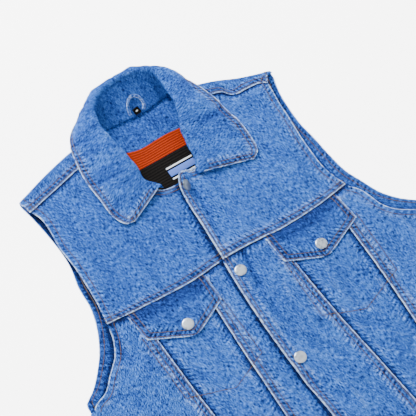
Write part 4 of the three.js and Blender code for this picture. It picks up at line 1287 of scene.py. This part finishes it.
# Tone runs from 0, deep indigo, to 1, white weft: its middle, what wear and painted shade add, and how pale it
# may become
TONE_MIDDLE = 0.415
TONE_BY_WEAR_AND_SHADE = 0.45
TONE_LIMIT = 0.85
LIMIT_BY_WEAR_AND_SHADE = 0.16
# Length of one gather along a seam, in metres
GATHER_PITCH = 0.006
# Flecks of the thread, painted light and shade of its plies, are 1.1 mm, coarser than the real turns of its
# plies so that they show, and the snaps' stains 7 mm
THREAD_FLECKS_PER_METRE = 900.0
STAINS_PER_METRE = 140.0


# How gathers, wear and painted shade make the tone and the relief of the denim: result, operation and what goes
# in
DENIM_STEPS = [
    ("drift", "MULTIPLY", "wander", 9.0),
    ("phase", "MULTIPLY_ADD", "run", 2 * math.pi / GATHER_PITCH, "drift"),
    ("ripple", "SINE", "phase"),
    ("depth", "MULTIPLY_ADD", "patches", 1.0, 0.29),
    ("ticks", "MULTIPLY_ADD", "tufts", 1.3, -0.08),
    ("folds", "MULTIPLY_ADD", "ripple", "depth", "ticks"),
    ("pucker", "MULTIPLY", "gather", "folds"),
    ("free tone", "ADD", "pucker", "value"),
    ("limit", "MULTIPLY_ADD", "wear_and_shade", LIMIT_BY_WEAR_AND_SHADE, TONE_LIMIT),
    ("tone", "MINIMUM", "free tone", "limit"),
    ("relief", "MULTIPLY_ADD", "pucker", 2.5, "value"),
]


def denim_material(colours):
    """Stonewashed cotton twill: indigo warp over pale weft, with slubs, wash mottling, white worn edges and
    painted shade.
    """
    material, tree = new_material("Stonewashed denim twill")
    cloth = add_node(tree, "ShaderNodeUVMap", {"uv_map": "cloth"})[0]
    beside = add_node(tree, "ShaderNodeUVMap", {"uv_map": "seam"})[0]
    wear_and_shade = add_node(tree, "ShaderNodeAttribute", {"attribute_name": "wear_and_shade"})["Fac"]
    gather = add_node(tree, "ShaderNodeAttribute", {"attribute_name": "gather"})["Fac"]
    value = add_node(tree, "ShaderNodeMath", {"operation": "MULTIPLY_ADD"},
                     [wear_and_shade, TONE_BY_WEAR_AND_SHADE, TONE_MIDDLE])[0]
    for width, length, turn, detail, strength in DENIM_PATTERNS:
        flecks = pattern(tree, cloth, width, length, turn, detail)
        value = add_node(tree, "ShaderNodeMath", {"operation": "MULTIPLY_ADD"}, [flecks, strength, value])[0]
    made = {
        "wear_and_shade": wear_and_shade, "gather": gather, "value": value,
        "run": add_node(tree, "ShaderNodeSeparateXYZ", {}, [beside])[0],
        "wander": pattern(tree, beside, 16, 40), "patches": pattern(tree, beside, 11, 20),
        "tufts": pattern(tree, beside, 2.6, 13),
    }
    for name, operation, *values in DENIM_STEPS:
        made[name] = add_node(tree, "ShaderNodeMath", {"operation": operation},
                              [made.get(value, value) for value in values])[0]
    colour = add_node(tree, "ShaderNodeValToRGB", {}, [made["tone"]], [
        (0.0, colours.indigo_deep), (1.0, colours.weft_white), (0.2, colours.indigo_dark),
        (0.42, colours.indigo_mid), (0.62, colours.indigo_light), (0.76, colours.indigo_pale),
        (0.88, colours.weft_blue)])[0]
    bumps = add_node(tree, "ShaderNodeBump", {},
                     {"Height": made["relief"], "Strength": 0.7, "Distance": 0.0008})[0]
    shader = add_node(tree, "ShaderNodeBsdfPrincipled", {}, {
        "Base Color": colour, "Roughness": 0.9, "Specular IOR Level": 0.04, "Normal": bumps})[0]
    add_node(tree, "ShaderNodeOutputMaterial", {}, [shader])
    return material


def lining_material(name, dark, light, width, length):
    """Cotton lining quilted in rows, matt: its ribs are painted lighter, as light they catch, and the sewn
    lines painted dark, as shade.
    """
    material, tree = new_material(name)
    cloth = add_node(tree, "ShaderNodeUVMap", {"uv_map": "cloth"})[0]
    wear_and_shade = add_node(tree, "ShaderNodeAttribute", {"attribute_name": "wear_and_shade"})["Fac"]
    grain = pattern(tree, cloth, width, length)
    value = add_node(tree, "ShaderNodeMath", {"operation": "MULTIPLY_ADD"}, [wear_and_shade, 0.55, grain])[0]
    colour = add_node(tree, "ShaderNodeValToRGB", {}, [value], [(0.0, dark), (0.5, light)])[0]
    bumps = add_node(tree, "ShaderNodeBump", {}, {"Height": grain, "Strength": 0.4, "Distance": 0.0004})[0]
    shader = add_node(tree, "ShaderNodeBsdfPrincipled", {}, {
        "Base Color": colour, "Roughness": 0.8, "Specular IOR Level": 0.05, "Normal": bumps})[0]
    add_node(tree, "ShaderNodeOutputMaterial", {}, [shader])
    return material


def thread_material(colours):
    """Core-spun polyester thread, dark tan: small light and dark flecks stand for painted light and shade on
    its plies, with a slight sheen.
    """
    material, tree = new_material("Dark tan polyester thread")
    place = add_node(tree, "ShaderNodeTexCoord")["Object"]
    twist_light_and_shade = add_node(tree, "ShaderNodeTexNoise", {},
                     {"Vector": place, "Scale": THREAD_FLECKS_PER_METRE, "Detail": 1})[0]
    colour = add_node(tree, "ShaderNodeValToRGB", {}, [twist_light_and_shade],
                      [(0.3, colours.thread_dark), (0.7, colours.thread_light)])[0]
    shader = add_node(tree, "ShaderNodeBsdfPrincipled", {}, {"Base Color": colour, "Roughness": 0.65})[0]
    add_node(tree, "ShaderNodeOutputMaterial", {}, [shader])
    return material


def nickel_material(name, dark, light):
    """Stamped brass with tumbled antique nickel plating: a pale satin metal with soft darker stains."""
    material, tree = new_material(name)
    place = add_node(tree, "ShaderNodeTexCoord")["Object"]
    stain = add_node(tree, "ShaderNodeTexNoise", {},
                     {"Vector": place, "Scale": STAINS_PER_METRE, "Detail": 2})[0]
    colour = add_node(tree, "ShaderNodeValToRGB", {}, [stain], [(0.2, dark), (0.5, light)])[0]
    rough = add_node(tree, "ShaderNodeMath", {"operation": "MULTIPLY_ADD"}, [stain, 0.2, 0.2])[0]
    shader = add_node(tree, "ShaderNodeBsdfPrincipled", {}, {
        "Base Color": colour, "Metallic": 0.9, "Roughness": rough})[0]
    add_node(tree, "ShaderNodeOutputMaterial", {}, [shader])
    return material


def satin_material(name, dark, light):
    """Woven polyester satin: smooth, with fine weft lines and a soft sheen."""
    material, tree = new_material(name)
    cloth = add_node(tree, "ShaderNodeUVMap", {"uv_map": "cloth"})[0]
    grain = add_node(tree, "ShaderNodeMath", {"operation": "ADD"}, [pattern(tree, cloth, 3.3, 0.4), 0.5])[0]
    colour = add_node(tree, "ShaderNodeValToRGB", {}, [grain], [(0.2, dark), (0.8, light)])[0]
    shader = add_node(tree, "ShaderNodeBsdfPrincipled", {}, {"Base Color": colour, "Roughness": 0.5})[0]
    add_node(tree, "ShaderNodeOutputMaterial", {}, [shader])
    return material


MADE = {}


def made_material(key, make):
    if key not in MADE:
        MADE[key] = make()
    return MADE[key]


def denim():
    return made_material("denim", lambda: denim_material(bpy.context.scene.vest_colours))


def satins():
    colours = bpy.context.scene.vest_colours
    return {
        "pale": made_material("pale", lambda: satin_material(
            "Pale woven satin", colours.satin_pale_dark, colours.satin_pale_light)),
        "blue": made_material("blue", lambda: satin_material(
            "Blue woven satin", colours.satin_blue_dark, colours.satin_blue_light)),
    }


def orange():
    colours = bpy.context.scene.vest_colours
    return made_material("orange", lambda: lining_material(
        "Orange quilted cotton", colours.orange_dark, colours.orange_light, 1.4, 1.1))


def black():
    colours = bpy.context.scene.vest_colours
    return made_material("black", lambda: lining_material(
        "Black ribbed cotton", colours.black_dark, colours.black_light, 2.0, 1.1))


# Settings, operators and panel

def hex_property(name, description, default):
    return bpy.props.StringProperty(name=name, description=description, default=default, maxlen=7)


class VestSizes(bpy.types.PropertyGroup):
    stitch_pitch: bpy.props.FloatProperty(
        name="Stitch pitch", description="From one stitch to the next", default=0.0032, unit="LENGTH")
    stitch_length: bpy.props.FloatProperty(
        name="Stitch length", description="Thread that shows of each stitch", default=0.0027, unit="LENGTH")
    thread_radius: bpy.props.FloatProperty(
        name="Thread radius", description="Radius of the sewing thread", default=0.00048, unit="LENGTH")
    camera_azimuth: bpy.props.FloatProperty(
        name="Camera azimuth", description="Turn of the view about the vertical",
        default=math.radians(-32.8), subtype="ANGLE")
    camera_elevation: bpy.props.FloatProperty(
        name="Camera elevation", description="Height of the view above the surface",
        default=math.radians(62.57), subtype="ANGLE")
    camera_distance: bpy.props.FloatProperty(
        name="Camera distance", description="From the camera to its target", default=1.82, unit="LENGTH")


class VestColours(bpy.types.PropertyGroup):
    # Deep indigo beside seams comes from unworn cloth and painted shade; pale blue on ridges from rubbing and
    # painted light
    indigo_deep: hex_property("Deep indigo", "Unworn cloth beside seams", "#11173A")
    indigo_dark: hex_property("Dark indigo", "Darkest yarns of the cloth", "#1F3374")
    indigo_mid: hex_property("Mid indigo", "Usual colour of the cloth", "#294CA0")
    indigo_light: hex_property("Light indigo", "Washed yarns of the cloth", "#2C5FC8")
    indigo_pale: hex_property("Pale indigo", "Well washed yarns", "#3475E0")
    weft_blue: hex_property("Pale blue", "Rubbed cloth on ridges", "#60A1F8")
    weft_white: hex_property("Weft white", "Worn edges", "#D6E9FA")
    # The thread's two colours: painted shade and painted light of its plies
    thread_dark: hex_property("Thread shade", "Thread in shade", "#332B19")
    thread_light: hex_property("Thread", "Sewing thread", "#765F38")
    metal_dark: hex_property("Metal shade", "Tarnish on the snaps", "#8490A2")
    metal_light: hex_property("Metal", "Bright metal of the snaps", "#C3CDDA")
    # Colours of the top snap's metal: painted shade and painted dark reflection on nickel
    shaded_metal_dark: hex_property("Tarnish shade", "Darkest metal of the top snap", "#4A5360")
    shaded_metal_light: hex_property("Tarnish", "Palest metal of the top snap", "#6E7988")
    # The linings' shade colours paint shade in the sewn lines, and their light colours paint light on the ribs
    orange_dark: hex_property("Orange shade", "Sewn lines of the orange band", "#651C0A")
    orange_light: hex_property("Orange", "Ribs of the orange band", "#C03B12")
    black_dark: hex_property("Black shade", "Sewn lines of the black lining", "#0B0A0A")
    black_light: hex_property("Black", "Ribs of the black lining", "#1F1D1B")
    satin_pale_dark: hex_property("Pale satin shade", "Weft lines of the pale bars", "#C9D3DC")
    satin_pale_light: hex_property("Pale satin", "Pale bars and the tab's mark", "#F2F5F7")
    satin_blue_dark: hex_property("Blue satin shade", "Weft lines of the blue bar", "#2B4FA8")
    satin_blue_light: hex_property("Blue satin", "Blue bar", "#4A72D0")
    paper: hex_property("Floor", "Paper under the vest", "#FCFCFC")


class VestOperator:
    bl_options = {"REGISTER", "UNDO"}


class VEST_OT_yokes(VestOperator, bpy.types.Operator):
    """Front yokes, with their armhole hems and lapped lower seam"""
    bl_idname = "vest.yokes"
    bl_label = "Front yokes"

    def execute(self, context):
        build_yokes(denim())
        return {"FINISHED"}


class VEST_OT_panels(VestOperator, bpy.types.Operator):
    """Front panels below the yokes"""
    bl_idname = "vest.panels"
    bl_label = "Front panels"

    def execute(self, context):
        build_panels(denim())
        return {"FINISHED"}


class VEST_OT_waistband(VestOperator, bpy.types.Operator):
    """Waistband, front and back"""
    bl_idname = "vest.waistband"
    bl_label = "Waistband"

    def execute(self, context):
        build_waistband(denim())
        return {"FINISHED"}


class VEST_OT_back(VestOperator, bpy.types.Operator):
    """Back panel and back yoke"""
    bl_idname = "vest.back"
    bl_label = "Back"

    def execute(self, context):
        build_back(denim())
        build_back_yoke(denim())
        return {"FINISHED"}


class VEST_OT_collar(VestOperator, bpy.types.Operator):
    """Turned-down collar"""
    bl_idname = "vest.collar"
    bl_label = "Collar"

    def execute(self, context):
        build_collar(denim())
        return {"FINISHED"}


class VEST_OT_flaps(VestOperator, bpy.types.Operator):
    """Pointed pocket flaps"""
    bl_idname = "vest.flaps"
    bl_label = "Pocket flaps"

    def execute(self, context):
        build_flaps(denim())
        return {"FINISHED"}


class VEST_OT_lining(VestOperator, bpy.types.Operator):
    """Orange band and black lining inside the back of the neck"""
    bl_idname = "vest.lining"
    bl_label = "Lining"

    def execute(self, context):
        build_lining(orange(), black(), satins())
        return {"FINISHED"}


class VEST_OT_loop(VestOperator, bpy.types.Operator):
    """Hang loop and size tab at the back of the neck"""
    bl_idname = "vest.loop"
    bl_label = "Loop and tab"

    def execute(self, context):
        build_loop(denim(), black(), satins())
        return {"FINISHED"}


class VEST_OT_snaps(VestOperator, bpy.types.Operator):
    """Snap caps of the front and the pockets"""
    bl_idname = "vest.snaps"
    bl_label = "Snaps"

    def execute(self, context):
        colours = context.scene.vest_colours
        # The second nickel, for the top snap, is painted darker as shade and dark reflection
        build_snaps(nickel_material("Antique nickel", colours.metal_dark, colours.metal_light),
                    nickel_material("Shaded nickel", colours.shaded_metal_dark, colours.shaded_metal_light))
        return {"FINISHED"}


class VEST_OT_stitches(VestOperator, bpy.types.Operator):
    """Rows of topstitching along the seams"""
    bl_idname = "vest.stitches"
    bl_label = "Stitches"

    def execute(self, context):
        surfaces = [bpy.data.objects[name].data for side in "LR"
                    for name in (f"centre_{side}", f"middle_{side}", f"side_{side}")]
        for side in "LR":
            corners = np.array(POCKET_LINES[side], dtype=float)
            run = length_along(corners)
            places = np.arange(0, run[-1], 2.0)
            path = np.stack([np.interp(places, run, corners[:, k]) for k in (0, 1)], -1)
            stitch_on_surface(path, *surfaces)
        build_stitches(context.scene.vest_sizes, thread_material(context.scene.vest_colours))
        return {"FINISHED"}


class VEST_OT_stage(VestOperator, bpy.types.Operator):
    """Pale floor, soft light and camera"""
    bl_idname = "vest.stage"
    bl_label = "Stage"

    def execute(self, context):
        build_stage(context.scene.vest_sizes, context.scene.vest_colours.paper)
        return {"FINISHED"}


# Lights: name, place in metres, width in metres and power in watts. The key comes from beyond the neck.
LIGHTS = [("Key", (-0.35, 1.75, 1.5), 0.9, 95.0), ("Fill", (-1.6, -1.0, 2.2), 2.4, 12.0)]
LIGHTS_AIM = (0, 0.1, 0)
WORLD_STRENGTH = 1.25
FLOOR_HALF = 6.0
FLOOR_Z = -0.0005
CAMERA_TARGET = (8.07, -39.6, 8.0)
CAMERA_LENS = 121.15


def build_stage(sizes, paper):
    """Paper floor, even light and the camera."""
    floor = bpy.data.meshes.new("floor")
    corners = [(-1, -1), (1, -1), (1, 1), (-1, 1)]
    floor.from_pydata([(x * FLOOR_HALF, y * FLOOR_HALF, FLOOR_Z) for x, y in corners], [], [(0, 1, 2, 3)])
    # White paper lit from all sides: matt, and bright enough to lose its own shade
    material, tree = new_material("White paper")
    shader = add_node(tree, "ShaderNodeBsdfPrincipled", {}, {
        "Base Color": linear(paper), "Emission Color": (1, 1, 1, 1), "Emission Strength": 4.5,
        "Roughness": 0.9})[0]
    add_node(tree, "ShaderNodeOutputMaterial", {}, [shader])
    floor.materials.append(material)
    ground = bpy.data.objects.new("floor", floor)
    bpy.context.collection.objects.link(ground)

    world = bpy.data.worlds.new("Studio")
    world.use_nodes = True
    colour, strength = world.node_tree.nodes["Background"].inputs[:2]
    colour.default_value = (1, 1, 1, 1)
    strength.default_value = WORLD_STRENGTH
    bpy.context.scene.world = world

    azimuth, elevation = sizes.camera_azimuth, sizes.camera_elevation
    back = Vector((math.sin(azimuth) * math.cos(elevation), -math.cos(azimuth) * math.cos(elevation),
                   math.sin(elevation)))
    camera_data = bpy.data.cameras.new("Camera")
    camera_data.sensor_width = 36.0
    camera_data.lens = CAMERA_LENS
    camera = bpy.data.objects.new("Camera", camera_data)
    camera.location = Vector(to_frame(CAMERA_TARGET)) + back * sizes.camera_distance
    camera.rotation_euler = back.to_track_quat("Z", "Y").to_euler()
    bpy.context.collection.objects.link(camera)
    bpy.context.scene.camera = camera

    for name, place, size, power in LIGHTS:
        data = bpy.data.lights.new(name, "AREA")
        data.size = size
        data.energy = power
        lamp = bpy.data.objects.new(name, data)
        lamp.location = place
        lamp.rotation_euler = (Vector(place) - Vector(LIGHTS_AIM)).to_track_quat("Z", "Y").to_euler()
        bpy.context.collection.objects.link(lamp)


OPERATORS = (VEST_OT_yokes, VEST_OT_panels, VEST_OT_waistband, VEST_OT_back, VEST_OT_collar, VEST_OT_flaps,
             VEST_OT_lining, VEST_OT_loop, VEST_OT_snaps, VEST_OT_stitches, VEST_OT_stage)


class VEST_PT_panel(bpy.types.Panel):
    """Builds the vest piece by piece"""
    bl_idname = "VEST_PT_panel"
    bl_label = "Denim vest"
    bl_space_type = "VIEW_3D"
    bl_region_type = "UI"
    bl_category = "Vest"

    def draw(self, context):
        for operator in OPERATORS:
            self.layout.operator(operator.bl_idname)
        for settings in (context.scene.vest_sizes, context.scene.vest_colours):
            for key in settings.bl_rna.properties.keys():
                if key not in ("rna_type", "name"):
                    self.layout.prop(settings, key)


CLASSES = (VestSizes, VestColours, *OPERATORS, VEST_PT_panel)


def register():
    for item in CLASSES:
        bpy.utils.register_class(item)
    bpy.types.Scene.vest_sizes = bpy.props.PointerProperty(type=VestSizes)
    bpy.types.Scene.vest_colours = bpy.props.PointerProperty(type=VestColours)


def unregister():
    del bpy.types.Scene.vest_colours
    del bpy.types.Scene.vest_sizes
    for item in reversed(CLASSES):
        bpy.utils.unregister_class(item)


def main():
    register()
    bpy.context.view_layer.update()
    for operator in OPERATORS:
        group, name = operator.bl_idname.split(".")
        getattr(getattr(bpy.ops, group), name)()


if __name__ == "__main__":
    main()
